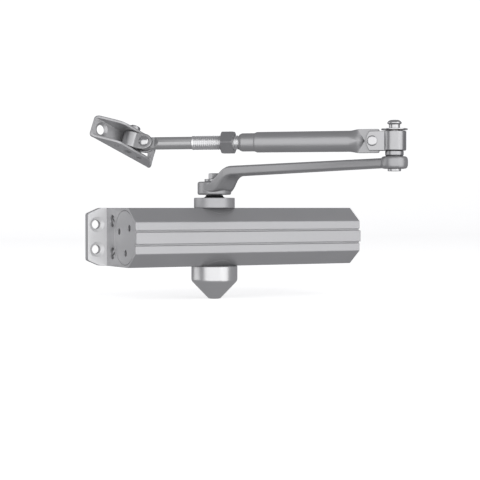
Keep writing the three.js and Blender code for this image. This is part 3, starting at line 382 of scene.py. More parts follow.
def joined(*shells):
    """Several shapes as one."""
    counts = [len(points) for points, _ in shells]
    first = np.cumsum([0] + counts[:-1])
    faces = [[[index + start for index in face] for face in faces] for (_, faces), start in zip(shells, first)]
    return np.concatenate([points for points, _ in shells]), [face for group in faces for face in group]


def moved(shell, x=0.0, y=0.0, z=0.0):
    """A shape moved along the axes."""
    return shell[0] + np.array([x, y, z]), shell[1]


def along_x(shell):
    """A shape built about Z laid along X: z becomes x, x becomes y and y becomes z."""
    return shell[0][:, [2, 0, 1]], shell[1]


def along_y(shell):
    """A shape built about Z laid along Y: z becomes y, x becomes z and y becomes x."""
    return shell[0][:, [1, 2, 0]], shell[1]


def upright(shell):
    """A flat shape drawn in X and Y stood up, so that its y becomes z and its z becomes -y."""
    return shell[0][:, [0, 2, 1]] * np.array([1, -1, 1]), shell[1]


def slotted(radius, low, high, slot_width, slot_depth, edge, facets=SMALL_ROUND):
    """A round head with a screwdriver slot: a disc up to the slot's floor, and on it two slabs, each the part
    of a circle that lies beyond half the slot's width."""
    floor = high - slot_depth
    half = slot_width / 2
    reach = math.asin(half / radius)
    angle = np.linspace(reach, math.pi - reach, facets)
    cheek = np.column_stack([radius * np.cos(angle), radius * np.sin(angle)])
    cheeks = [slab(side * cheek, floor - BURIED, high, edge) for side in (1, -1)]
    base = turned([(0, low), (radius + SHY, low), (radius + SHY, floor), (0, floor)], 2 * facets)
    return joined(base, *cheeks)


def hexagonal(flats, low, high, bore, facets=ROUND):
    """A hexagon along Z with a corner at the angle nought, its corners turned off at both faces. At the angle
    a its side is flats / 2 / cos(a'), a' being a folded into thirty degrees either side of a flat's middle,
    and a cone of thirty degrees starts just inside the circle that the flats touch."""
    angle = np.linspace(0, 2 * math.pi, facets, endpoint=False)
    side = flats / 2 / np.cos(angle % (math.pi / 3) - math.pi / 6)
    face = np.full(facets, flats / 2 * 0.985)
    fall = (side - face) * math.tan(math.radians(30))
    hole = np.full(facets, bore)
    lead = bore + 0.05 * flats if bore else 0.0
    mouth = np.full(facets, lead)
    radius = np.stack([hole, mouth, face, side, side, face, mouth, hole])
    inner = lead - bore
    height = np.stack([
        np.full(facets, low + inner), np.full(facets, low), np.full(facets, low), low + fall,
        high - fall, np.full(facets, high), np.full(facets, high), np.full(facets, high - inner)])
    points = np.stack([radius * np.cos(angle), radius * np.sin(angle), height], axis=-1)
    return skin(points, ring=bore > 0)


# ---- Places: where each group of pieces stands in the closer ----

class Place:
    """An origin and three axes. A point (x, y, z) lies at origin + x X + y Y + z Z."""

    def __init__(self, origin, x, y, z):
        self.origin = np.array(origin, float)
        self.axes = np.array([x, y, z], float)

    def holds(self, points):
        return self.origin + points @ self.axes


def axis_of(joint):
    return np.array(JOINTS[joint]["axis"], float)


def middle_of(joint):
    return np.array(JOINTS[joint]["pos_m"], float)


UP = np.array([0.0, 0.0, 1.0])
HERE = Place((0, 0, 0), (1, 0, 0), (0, 1, 0), (0, 0, 1))
PINION = Place(middle_of("arm_swing") * (1, 1, 0), (1, 0, 0), (0, 1, 0), (0, 0, 1))


def arm_place():
    reach = (middle_of("elbow_swing") - middle_of("arm_swing")) * (1, 1, 0)
    along = reach / np.linalg.norm(reach)
    return Place(PINION.origin, along, np.cross(UP, along), UP), np.linalg.norm(reach)


ARM, ARM_LENGTH = arm_place()
FOREARM_HEIGHT = middle_of("elbow_swing")[2]
FOREARM = Place(middle_of("elbow_swing"), axis_of("rod_adjust"), np.cross(UP, axis_of("rod_adjust")), UP)
ROD = Place(middle_of("elbow_swing"), axis_of("rod_adjust"), axis_of("knuckle_tilt"),
            np.cross(axis_of("rod_adjust"), axis_of("knuckle_tilt")))
KNUCKLE = Place(middle_of("knuckle_tilt"), np.cross(axis_of("knuckle_tilt"), axis_of("bracket_swing")),
                axis_of("knuckle_tilt"), axis_of("bracket_swing"))
BRACKET_BACK = np.array(MOUNTS["frame_face"]["axis"], float)
BRACKET = Place(middle_of("bracket_swing"), np.cross(BRACKET_BACK, axis_of("bracket_swing")),
                BRACKET_BACK, axis_of("bracket_swing"))
NUT_START = np.dot(middle_of("nut_turn") - middle_of("elbow_swing"), axis_of("rod_adjust"))
KNUCKLE_START = np.dot(middle_of("knuckle_tilt") - middle_of("elbow_swing"), axis_of("rod_adjust"))
RIVET_START = np.dot(middle_of("forearm_tilt") - middle_of("elbow_swing"), axis_of("rod_adjust"))
BARREL_START = np.dot(middle_of("bracket_swing") - middle_of("knuckle_tilt"), KNUCKLE.axes[0])


# ---- Finishes ----

class Finish:
    """A material of nodes on Object coordinates: a base colour that drifts a little, a roughness that
    follows it, and a fine bump."""

    def __init__(self, name, colour, roughness, metallic=1.0, grain=900.0, bump=0.05, drift=0.06, coat=0.0):
        self.material = bpy.data.materials.new(name)
        self.material.use_nodes = True
        self.nodes = self.material.node_tree.nodes
        self.links = self.material.node_tree.links
        self.shader = self.nodes["Principled BSDF"]
        self.shader.inputs["Metallic"].default_value = metallic
        self.shader.inputs["Coat Weight"].default_value = coat
        self.shader.inputs["Coat Roughness"].default_value = 0.25
        self.place = self.nodes.new("ShaderNodeTexCoord").outputs["Object"]
        broad = self.noise(35.0, 3)
        fine = self.noise(grain, 2)
        self.colour(broad, fine, colour, drift)
        self.roughness(broad, fine, roughness)
        self.bump(fine, bump)

    def noise(self, scale, detail):
        noise = self.nodes.new("ShaderNodeTexNoise")
        noise.inputs["Scale"].default_value = scale
        noise.inputs["Detail"].default_value = detail
        self.links.new(self.place, noise.inputs["Vector"])
        return noise.outputs["Fac"]

    def mixed(self, broad, fine):
        """The mean of the broad and the fine pattern."""
        mix = self.nodes.new("ShaderNodeMix")
        mix.inputs["Factor"].default_value = 0.4
        self.links.new(broad, mix.inputs["A"])
        self.links.new(fine, mix.inputs["B"])
        return mix.outputs["Result"]

    def colour(self, broad, fine, colour, drift):
        ramp = self.nodes.new("ShaderNodeValToRGB")
        dark, light = ramp.color_ramp.elements
        dark.position, light.position = 0.3, 0.7
        dark.color = (*(channel * (1 - drift) for channel in colour), 1)
        light.color = (*(min(1.0, channel * (1 + drift)) for channel in colour), 1)
        self.links.new(self.mixed(broad, fine), ramp.inputs["Fac"])
        self.links.new(ramp.outputs["Color"], self.shader.inputs["Base Color"])

    def roughness(self, broad, fine, roughness):
        spread = self.nodes.new("ShaderNodeMapRange")
        spread.inputs["From Min"].default_value = 0.3
        spread.inputs["From Max"].default_value = 0.7
        spread.inputs["To Min"].default_value = roughness * 0.88
        spread.inputs["To Max"].default_value = roughness * 1.12
        self.links.new(self.mixed(broad, fine), spread.inputs["Value"])
        self.links.new(spread.outputs["Result"], self.shader.inputs["Roughness"])

    def bump(self, fine, strength):
        bump = self.nodes.new("ShaderNodeBump")
        bump.inputs["Strength"].default_value = strength
        bump.inputs["Distance"].default_value = 0.0002
        self.links.new(fine, bump.inputs["Height"])
        self.links.new(bump.outputs["Normal"], self.shader.inputs["Normal"])


def finish(slot):
    """The material of a slot, made on first use."""
    if slot in bpy.data.materials and bpy.data.materials[slot].get("closer_finish"):
        return bpy.data.materials[slot]
    tones = bpy.context.scene.closer_finishes
    recipes = {
        "grey_paint": (tones.grey, 0.38, dict(metallic=0.7, grain=1100, bump=0.08, drift=0.03, coat=0.1)),
        # the lugs' front faces: a paler, less metallic tone than the housing's paint
        "machined": (tones.machined, 0.5, dict(metallic=0.3, grain=900, bump=0.03, drift=0.02)),
        "bright_thread": (tones.thread, 0.3, dict(grain=1600, bump=0.02, drift=0.03)),
        "plain_rod": (tones.rod, 0.34, dict(metallic=0.7, grain=1100, bump=0.04, drift=0.03)),
        "plated": (tones.plated, 0.3, dict(metallic=0.9, grain=1600, bump=0.02, drift=0.02)),
        "silver_paint": (tones.silver, tones.silver_roughness,
                         dict(metallic=0.65, grain=1100, bump=0.08, drift=0.03, coat=0.15)),
        "satin_steel": (tones.satin, tones.satin_roughness, dict(grain=700, bump=0.08)),
        "bright_steel": (tones.bright, tones.bright_roughness, dict(grain=1600, bump=0.04, drift=0.04)),
        "dark_steel": (tones.dark, 0.38, dict(grain=800, bump=0.1, drift=0.12)),
        "bronze": (tones.bronze, 0.35, dict(grain=1200, bump=0.08, drift=0.1)),
        "black_rubber": (tones.rubber, 0.62, dict(metallic=0.0, grain=600, bump=0.15, drift=0.2)),
    }
    colour, roughness, details = recipes[slot]
    for old in [m for m in bpy.data.materials if m.name == slot]:
        old.name = slot + "_plain"
    made = Finish(slot, tuple(colour), roughness, **details).material
    made["closer_finish"] = True
    return made


# ---- Making pieces ----

def mesh_object(name, shell, place):
    """An object of one shape, its vertices already in place, welded, with its faces turned outwards."""
    points, faces = shell
    mesh = bpy.data.meshes.new(name)
    mesh.from_pydata(place.holds(points).tolist(), [], faces)
    work = bmesh.new()
    work.from_mesh(mesh)
    bmesh.ops.remove_doubles(work, verts=work.verts, dist=WELD)
    bmesh.ops.dissolve_degenerate(work, edges=work.edges, dist=WELD / 4)
    bmesh.ops.dissolve_limit(work, angle_limit=FLAT_ANGLE, verts=work.verts, edges=work.edges)
    bmesh.ops.recalc_face_normals(work, faces=work.faces)
    work.to_mesh(mesh)
    work.free()
    made = bpy.data.objects.new(name, mesh)
    bpy.context.scene.collection.objects.link(made)
    return made


def settled(made):
    """The object with its modifiers worked into its mesh."""
    graph = bpy.context.evaluated_depsgraph_get()
    graph.update()
    mesh = bpy.data.meshes.new_from_object(made.evaluated_get(graph), depsgraph=graph)
    made.modifiers.clear()
    old = made.data
    made.data = mesh
    bpy.data.meshes.remove(old)
    mesh.name = made.name
    return made


def drilled(made, tools, place):
    """The object less each of the tool shapes."""
    cutters = [mesh_object(made.name + "_cut", tool, place) for tool in tools]
    for cutter in cutters:
        cut = made.modifiers.new("Cut", "BOOLEAN")
        cut.operation, cut.solver, cut.object = "DIFFERENCE", "EXACT", cutter
    settled(made)
    for cutter in cutters:
        bpy.data.objects.remove(cutter)
    return made


def bevelled(made, width):
    """The object with its sharp edges rounded."""
    bevel = made.modifiers.new("Edge", "BEVEL")
    bevel.width, bevel.segments, bevel.limit_method, bevel.angle_limit = width, 3, "ANGLE", SMOOTH_ANGLE
    return settled(made)


def finished(made, body, slot, *nodes, look=None):
    """Shades a piece, gives it its finish and body, and hides the CAD nodes that it stands for."""
    mesh = made.data
    mesh.shade_smooth()
    mesh.set_sharp_from_angle(angle=SMOOTH_ANGLE)
    weighted = made.modifiers.new("Normals", "WEIGHTED_NORMAL")
    weighted.keep_sharp = True
    settled(made)
    made.data.materials.clear()
    made.data.materials.append(finish(look or slot))
    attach(made, body)
    if nodes:
        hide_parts(*nodes)
    return made


def face_facts(made):
    """The middles and the normals of an object's faces, as two arrays."""
    facts = []
    for field in ("center", "normal"):
        values = np.zeros(3 * len(made.data.polygons))
        made.data.polygons.foreach_get(field, values)
        facts.append(values.reshape(-1, 3))
    return facts


def build(name, shell, place, body, slot, *nodes, look=None):
    """A finished piece from one shape."""
    return finished(mesh_object(name, shell, place), body, slot, *nodes, look=look)


# ---- Housing ----

def housing_section(s):
    """Half the housing's outline in (y, z), from the back's upper corner to the rib, with its corner radii,
    and its mirror image below."""
    top, rib = s.height / 2, s.rib_height / 2
    groove = rib + s.groove_width
    floor = -(s.depth - s.groove_depth)
    upper = np.array([
        (0, top), (-(s.depth - s.chamfer), top), (-s.depth, s.front_flat / 2), (-s.depth, groove),
        (floor, groove), (floor, rib), (-(s.depth + s.rib_proud), rib)])
    radii = np.array([0.8, 1.4, 1.4, 0.5, 0.3, 0.3, 1.1]) * s.edge
    corners = np.concatenate([upper, upper[::-1] * (1, -1)])
    return softened(corners, np.concatenate([radii, radii[::-1]]))


def housing_shell(s, ends):
    """The section carried along X and drawn in at both ends, the cylinder's bore with a seat for each plug,
    and the two adjusting screws' blind holes in the left end face."""
    section = housing_section(s)
    half = s.length / 2
    edge = 0.6 * s.edge
    outside = wall(section, rim_steps(-half, half, edge)[::-1])
    seat = ends.plug / 2 + FIT
    lip = seat + MOUTH
    bore = s.bore / 2
    depth = half - ends.plug_depth
    bore_profile = [(lip, -half), (seat, -half + MOUTH), (seat, -depth), (bore, -depth),
                    (bore, depth), (seat, depth), (seat, half - MOUTH), (lip, half)]
    inside = moved(turned(bore_profile), x=-s.bore_to_door)
    plug_mouth = circle(lip, (-s.bore_to_door, 0), ROUND)
    valve_mouths, valve_holes = [], []
    for side in (-1, 1):
        middle = (-ends.valve_to_door, side * ends.valve_spacing / 2)
        rim = ends.valve_recess / 2
        floor = -half + ends.valve_recess_depth
        inner = ends.valve / 2 + FIT
        profile = [(rim + MOUTH, -half), (rim, -half + MOUTH), (rim, floor), (inner, floor),
                   (inner, floor + ends.valve_hole_depth), (0, floor + ends.valve_hole_depth)]
        valve_holes.append(moved(turned(profile, SMALL_ROUND), *middle))
        valve_mouths.append(circle(rim + MOUTH, middle))
    drawn_in = inset(section, edge)
    left = filled([drawn_in, plug_mouth, *valve_mouths], -half)
    right = filled([drawn_in, plug_mouth], half)
    # built with its length along Z, (y, z) in X and Y
    return along_x(joined(outside, inside, left, right, *valve_holes))


def lug_shell(s, side):
    """A plate that stands out from the end face, its outer corners cut, with two countersunk holes."""
    root = s.length / 2 - BURIED - 0.0006
    end = s.length / 2 + s.lug_length
    top = s.height / 2 - SHY
    shoulder = end - s.lug_cut_length
    outline = softened([
        (root, -top), (shoulder, -top), (end, s.lug_cut_height - top),
        (end, top - s.lug_cut_height), (shoulder, top), (root, top)], [0, 0.002, 0.0018, 0.0018, 0.002, 0])
    thick = s.lug_thickness
    sink = (s.countersink - s.screw_hole) / 2
    ease = 0.0003
    steps = [(sink + ease, thick), (sink, thick - ease), (MOUTH / 4, thick - s.countersink_depth),
             (0, thick - s.countersink_depth - MOUTH), (0, ease), (ease, SHY)]
    middle = end - s.screw_inset
    holes = [(circle(s.screw_hole / 2, (middle, level * s.screw_spacing / 2), hole=True), steps)
             for level in (-1, 1)]
    plate = upright(slab(outline, SHY, thick, s.edge, holes))
    if side < 0:
        return plate[0] * np.array([-1, 1, 1]), plate[1]
    return plate


def gland_tool(s, pinion):
    """The hole through the housing's top and bottom walls that the glands' stems fill."""
    reach = s.height
    radius = pinion.stem / 2 + FIT
    return turned([(0, -reach), (radius, -reach), (radius, reach), (0, reach)])


class CLOSER_OT_housing(bpy.types.Operator):
    """Housing with its two lugs"""
    bl_idname = "closer.housing"
    bl_label = "Housing"

    def execute(self, context):
        s, ends, pinion = (context.scene.closer_housing, context.scene.closer_ends, context.scene.closer_pinion)
        bar = mesh_object("housing", housing_shell(s, ends), HERE)
        drilled(bar, [gland_tool(s, pinion)], PINION)
        points = np.zeros(len(bar.data.vertices) * 3)
        bar.data.vertices.foreach_get("co", points)
        faces = [list(polygon.vertices) for polygon in bar.data.polygons]
        whole = joined((points.reshape(-1, 3), faces), lug_shell(s, -1), lug_shell(s, 1))
        bpy.data.objects.remove(bar)
        made = build("housing_with_lugs", whole, HERE, "housing", "silver_paint", "body_housing")
        made.data.materials.append(finish("machined"))
        # the lugs' faces that face the front, beyond the end faces, take the paler second material
        middles, normals = face_facts(made)
        lug_fronts = (np.abs(middles[:, 0]) > s.length / 2 + SHY) & (normals[:, 1] < -0.5)
        made.data.polygons.foreach_set("material_index", lug_fronts.astype(int))
        return {"FINISHED"}


# ---- End plugs and adjusting screws ----

def plug_shell(ends, turn):
    """A disc with an eased rim and three blind spanner holes, its outer face at z = 0."""
    radius, edge = ends.plug / 2, ends.plug_edge
    rim = wall(circle(radius, facets=ROUND), [
        (edge, 0), (0.3 * edge, -0.3 * edge), (0, -edge), (0, -ends.plug_depth)])
    holes, mouths = [], []
    for index in range(3):
        angle = turn + index * 2 * math.pi / 3
        middle = (ends.pin_circle * math.cos(angle), ends.pin_circle * math.sin(angle))
        hole = ends.pin_hole / 2
        profile = [(hole + MOUTH, 0), (hole + MOUTH / 4, -0.3 * edge), (hole, -edge),
                   (hole, -ends.pin_hole_depth), (0, -ends.pin_point_depth)]
        holes.append(moved(turned(profile, SMALL_ROUND), *middle))
        mouths.append(circle(hole + MOUTH, middle))
    face = filled([circle(radius - edge, facets=ROUND), *mouths], 0)
    back = filled([circle(radius, facets=ROUND)], -ends.plug_depth)
    return joined(rim, face, back, *holes)


PLUG_TURN = math.radians(38)  # from the door's side to a plug's first spanner hole
SLOT_TURN = math.radians(35)  # of the adjusting screws' slots


class CLOSER_OT_ends(bpy.types.Operator):
    """End plugs and adjusting screws"""
    bl_idname = "closer.ends"
    bl_label = "Plugs and adjusting screws"

    def execute(self, context):
        s, ends = context.scene.closer_housing, context.scene.closer_ends
        for name, side in (("left", -1), ("right", 1)):
            outward = np.array([side, 0, 0], float)
            across = np.array([0, -1, 0], float)
            middle = (side * (s.length / 2 - SHY), -s.bore_to_door, 0)
            place = Place(middle, across, np.cross(outward, across), outward)
            shell = plug_shell(ends, -side * PLUG_TURN)
            build(name + "_plug", shell, place, "housing", "silver_paint", name + "_end_plug")
        for name, side in (("sweep", 1), ("latch", -1)):
            middle = (-s.length / 2 + ends.valve_recess_depth / 2, -ends.valve_to_door,
                      side * ends.valve_spacing / 2)
            tilt = SLOT_TURN * side
            across = np.array([0, math.cos(tilt), math.sin(tilt)])
            outward = np.array([-1.0, 0, 0])
            place = Place(middle, across, np.cross(outward, across), outward)
            radius = ends.valve / 2
            head_low = -0.004
            joint, point = head_low + 0.0002, -ends.valve_length
            cone = point + 0.007
            head = slotted(radius, head_low, 0, ends.slot_width, ends.slot_depth, 0.0005)
            shank = soft_turned([(0, point), (0.001, point), (radius / 2, cone), (radius - SHY, cone),
                                 (radius - SHY, joint), (0, joint)], 0.0003, SMALL_ROUND)
            build(name + "_screw", joined(head, shank), place, name + "_screw", "bright_steel", name + "_valve")
        return {"FINISHED"}


# ---- Glands, seals and cap ----

def chamfer_tool(s, side):
    """The corner that the housing's chamfer cuts away: a triangle in (y, z) carried along X."""
    top, front = side * s.height / 2, -s.depth - s.rib_proud
    slope = side * (s.height - s.front_flat) / 2 / s.chamfer
    corner = np.array([(front, top), (-(s.depth - s.chamfer), top),
                       (front, top + slope * (front + s.depth - s.chamfer))])
    middle = np.broadcast_to(corner.mean(axis=0), corner.shape)
    rows = [middle, corner, corner, middle]
    x = np.repeat(np.array([-1, -1, 1, 1]) * s.depth, 3).reshape(4, 3, 1)
    return skin(np.concatenate([x, np.stack(rows)], axis=-1))


class CLOSER_OT_glands(bpy.types.Operator):
    """Gland nuts and shaft seals above and below"""
    bl_idname = "closer.glands"
    bl_label = "Glands and seals"

    def execute(self, context):
        s, p = context.scene.closer_housing, context.scene.closer_pinion
        wall_top = s.height / 2
        top = wall_top + p.gland_height
        rim, stem = p.gland / 2, p.stem / 2
        journal = p.journal / 2
        bearing, bearing_low, bearing_top = journal + 0.0031, 0.0145, 0.0265
        skirt, stem_low = 0.0119, wall_top - 0.0062
        pocket, pocket_floor = journal + 0.00365, top - 0.006
        hole = journal + MOUTH
        gland = [(bearing, bearing_low), (skirt, bearing_low), (skirt, stem_low), (stem, stem_low),
                 (stem, wall_top + SHY), (rim, wall_top + SHY), (rim, top), (pocket, top), (pocket, pocket_floor),
                 (hole, pocket_floor), (hole, bearing_top), (bearing, bearing_top)]
        edges = [0.0001, 0.0003, 0.0002, 0.0003, 0.0001, 0.0006, 0.0009, 0.0004, 0.0001, 0.0001, 0.0001, 0.0001]
        inner, lip_top = journal + FIT, top + 0.0026
        outer, seal_low = inner + 0.0034, pocket_floor + 0.0002
        seal = [(inner, seal_low), (outer, seal_low), (outer, top + 0.0002), (inner + 0.0018, top + 0.0007),
                (inner + 0.001, lip_top), (inner, lip_top)]
        for name, side in (("upper", 1), ("lower", -1)):
            place = Place(PINION.origin, (1, 0, 0), (0, side, 0), (0, 0, side))
            made = mesh_object(name + "_gland", soft_turned(gland, edges, ring=True), place)
            drilled(made, [chamfer_tool(s, side)], HERE)
            finished(made, "housing", "silver_paint", name + "_gland_nut")
            build(name + "_seal", soft_turned(seal, 0.0004, ring=True), place, "housing", "black_rubber",
                  name + "_shaft_seal")
        return {"FINISHED"}


class CLOSER_OT_cap(bpy.types.Operator):
    """Cap over the pinion's lower end"""
    bl_idname = "closer.cap"
    bl_label = "Lower cap"

    def execute(self, context):
        s, p = context.scene.closer_housing, context.scene.closer_pinion
        bottom = -s.height / 2 - GAP
        shoulder = -s.height / 2 - p.cap_straight
        tip = -s.height / 2 - p.cap_height
        outer, point = p.cap / 2, p.cap_tip / 2
        slope = (outer - point) / (shoulder - tip)
        inner = p.gland / 2 + 2 * FIT
        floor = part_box("pinion_shaft")[0].z - 0.0016
        profile = [(0, tip), (point, tip), (outer, shoulder), (outer, bottom), (inner, bottom),
                   (inner, shoulder + 0.0005), (point + slope * (floor - tip) - p.cap_wall, floor), (0, floor)]
        shell = soft_turned(profile, [0, 0.0012, 0.002, 0.0007, 0.0003, 0.0005, 0.0005, 0])
        build("lower_cap", shell, PINION, "housing", "silver_paint", "pinion_cap", look="plated")
        return {"FINISHED"}


# ---- Main arm ----

def arm_levels(s, a):
    """Heights along the arm: hub's underside and top, and the eye's underside and top."""
    low = s.height / 2 + bpy.context.scene.closer_pinion.gland_height + a.hub_lift
    top = low + a.hub_height
    return low, top, top + a.eye_lift, top + a.eye_lift + a.eye_height


def bar_shell(s, a):
    """The bar, a row of sections along X. Each is a rounded oblong, |y / w|^n + |z / h|^n = 1, between an
    underside and a top that climb from the hub along an eased line, and its width tapers to the elbow. The
    first sections widen to the hub's rim."""
    low, top, eye_low, eye_top = arm_levels(s, a)
    far_low = (eye_low + eye_top - a.far_thickness) / 2
    near_low = top + 0.0045
    root_low, root_top = low + 0.0012, top - 0.0006
    under = softened([(0, root_low), (0.014, root_low), (0.029, near_low), (ARM_LENGTH, far_low)],
                     0.009, closed=False, steps=14)
    over = softened([(0, root_top), (0.0095, root_top), (0.0145, near_low),
                     (0.0262, near_low + a.near_thickness - 0.0006),
                     (ARM_LENGTH, far_low + a.far_thickness)], [0, 0.002, 0.006, 0.012, 0], closed=False, steps=14)
    neck_end, bar_start = 0.045, 0.05
    stations = np.concatenate([np.linspace(0.004, neck_end, 70), np.linspace(bar_start, ARM_LENGTH, 40)])
    bottom = np.interp(stations, under[:, 0], under[:, 1])
    upper = np.interp(stations, over[:, 0], over[:, 1])
    near, hub = a.near_width / 2, a.hub / 2
    width = np.interp(stations, [0, 0.004, 0.009, 0.014, 0.020, 0.027, ARM_LENGTH],
                      [hub, hub - 0.0005, hub - 0.0020, hub - 0.0036, hub - 0.0050, near, a.far_width / 2])
    angle = np.linspace(0, 2 * math.pi, 72, endpoint=False)
    power = 2 / 4.6  # two over the oblong's n
    across = np.sign(np.cos(angle)) * np.abs(np.cos(angle)) ** power
    rise = np.sign(np.sin(angle)) * np.abs(np.sin(angle)) ** power
    y = width[:, None] * across
    z = (upper + bottom)[:, None] / 2 + (upper - bottom)[:, None] / 2 * rise
    x = np.broadcast_to(stations[:, None], y.shape)
    body = np.stack([x, y, z], axis=-1)
    ends = [np.broadcast_to(row.mean(axis=0), row.shape) for row in (body[0], body[-1])]
    return skin(np.concatenate([ends[0][None], body, ends[1][None]]))


class CLOSER_OT_arm(bpy.types.Operator):
    """Main arm: hub, neck, bar and eye"""
    bl_idname = "closer.arm"
    bl_label = "Main arm"

    def execute(self, context):
        s, a = context.scene.closer_housing, context.scene.closer_arm
        low, top, eye_low, eye_top = arm_levels(s, a)
        hub = soft_turned([(0, low), (a.hub / 2, low), (a.hub / 2, top), (0, top)], [0, 0.0018, 0.0022, 0])
        hole, rim = a.eye_hole / 2, a.eye / 2
        eye = soft_turned([(hole, eye_low), (rim - 0.0006, eye_low), (rim, (eye_low + eye_top) / 2),
                           (rim - 0.0006, eye_top), (hole, eye_top)],
                          [0.0003, 0.0026, 0.002, 0.0026, 0.0003], ring=True)
        shell = joined(hub, bar_shell(s, a), moved(eye, x=ARM_LENGTH))
        build("main_bar", shell, ARM, "arm", "silver_paint", "main_arm", look="grey_paint")
        return {"FINISHED"}


class CLOSER_OT_arm_screw(bpy.types.Operator):
    """Screw and washer on the hub"""
    bl_idname = "closer.arm_screw"
    bl_label = "Hub screw and washer"

    def execute(self, context):
        s, a = context.scene.closer_housing, context.scene.closer_arm
        low = arm_levels(s, a)[1] + GAP
        top = low + a.washer_thickness
        hole = 0.0032
        rim = a.washer / 2
        washer = soft_turned([(hole, low), (rim, low), (rim, top), (hole, top)], 0.0005, ring=True)
        build("hub_washer", washer, ARM, "arm", "satin_steel", "arm_washer")
        seat = top + GAP
        made = mesh_object("hub_screw", hexagonal(a.screw_flats, seat, seat + a.screw_height, 0), ARM)
        bevelled(made, 0.00025)
        finished(made, "arm", "satin_steel", "arm_screw")
        return {"FINISHED"}


# ---- Elbow ----

def ear_outline(reach, end, half, curve):
    """An ear in (x, z): straight edges, then an arc of radius curve that ends at x = end."""
    turn = math.asin(half / curve)
    angle = np.linspace(-turn, turn, 33)
    arc = np.column_stack([end - curve + curve * np.cos(angle), curve * np.sin(angle)])
    return np.concatenate([[(reach, -half)], arc, [(reach, half)]])


class CLOSER_OT_elbow(bpy.types.Operator):
    """Elbow pin, spacer, dished washer, and the strap with its sleeve and ears"""
    bl_idname = "closer.elbow"
    bl_label = "Elbow"

    def execute(self, context):
        s, a, e = context.scene.closer_housing, context.scene.closer_arm, context.scene.closer_elbow
        _, _, eye_low, eye_top = arm_levels(s, a)
        place = Place(ARM.origin + ARM_LENGTH * ARM.axes[0], *ARM.axes)
        half = e.sleeve_height / 2
        sleeve_top = FOREARM_HEIGHT + half
        washer_low = sleeve_top + 0.0006
        head = washer_low + 0.0015
        foot = eye_low - 0.002
        pin = [(0, foot), (0.0055, foot), (0.0055, eye_low - 0.0001), (0.004, eye_low - 0.0001), (0.004, head),
               (0.0044, head), (0.0046, head + 0.0032), (e.pin_head / 2, head + 0.0040),
               (e.pin_head / 2 - 0.0003, head + 0.0052), (e.pin_head / 2 - 0.0022, head + 0.0069),
               (0, head + 0.0069)]
        edges = [0, 0.0005, 0.0003, 0.0002, 0.0002, 0.0003, 0.0004, 0.0008, 0.001, 0.0012, 0]
        build("elbow_rivet_pin", soft_turned(pin, edges), place, "arm", "bright_steel", "elbow_pin")
        hole = 0.0042
        rim, low, high = e.spacer / 2, eye_top + GAP, sleeve_top - e.sleeve_height - GAP
        spacer = soft_turned([(hole, low), (rim - 0.0006, low), (rim, low + 0.0011), (rim, high - 0.0005),
                              (rim - 0.0006, high), (hole, high)], 0.0004, ring=True)
        build("elbow_collar", spacer, place, "arm", "satin_steel", "elbow_spacer")
        rim, flat_rim, washer_top = e.washer / 2, 0.0075, washer_low + 0.0012
        dished = soft_turned([(hole, washer_low), (flat_rim, washer_low), (rim, washer_low + 0.0003),
                              (rim, washer_top + 0.0002), (flat_rim, washer_top), (hole, washer_top)],
                             0.0004, ring=True)
        build("elbow_dished_washer", dished, place, "arm", "bright_steel", "elbow_washer")
        wide = e.sleeve / 2
        bore = wide - e.sleeve_wall
        sleeve = soft_turned([(bore, -half), (wide, -half), (wide, half), (bore, half)],
                             [0.0005, 0.0009, 0.0009, 0.0005], ring=True)
        ear = ear_outline(bore + 0.0008, e.ear_end, half, 0.78 * e.sleeve_height)
        bolt = circle(0.0033, (RIVET_START, 0), hole=True)
        ears = []
        for side in (-1, 1):
            inner, outer = e.ear_gap / 2, e.ear_gap / 2 + e.ear_thickness
            low, high = (-outer, -inner) if side < 0 else (inner, outer)
            ears.append(upright(slab(ear, low, high, 0.0006, [(bolt, [(0, high), (0, low)])])))
        build("elbow_sleeve_and_ears", joined(sleeve, *ears), FOREARM, "elbow", "satin_steel", "elbow_strap")
        return {"FINISHED"}


# ---- Forearm ----

def dome(radius, low, height, steps=10):
    """The rising (radius, height) points of a shallow dome: radius cos a, low + height sin a."""
    angle = np.linspace(0, math.pi / 2, steps)
    return np.column_stack([radius * np.cos(angle), low + height * np.sin(angle)])


def rivet_shell(shank, head, height, grip):
    """A rivet along Y with a low dome on each end."""
    top = dome(head, grip / 2 + 0.0004, height - 0.0004)
    upper = np.concatenate([[(shank, 0), (shank, grip / 2 + SHY), (head - 0.0003, grip / 2 + SHY)], top])
    lower = (upper * (1, -1))[::-1]
    return along_y(turned(np.concatenate([lower, upper]), SMALL_ROUND))


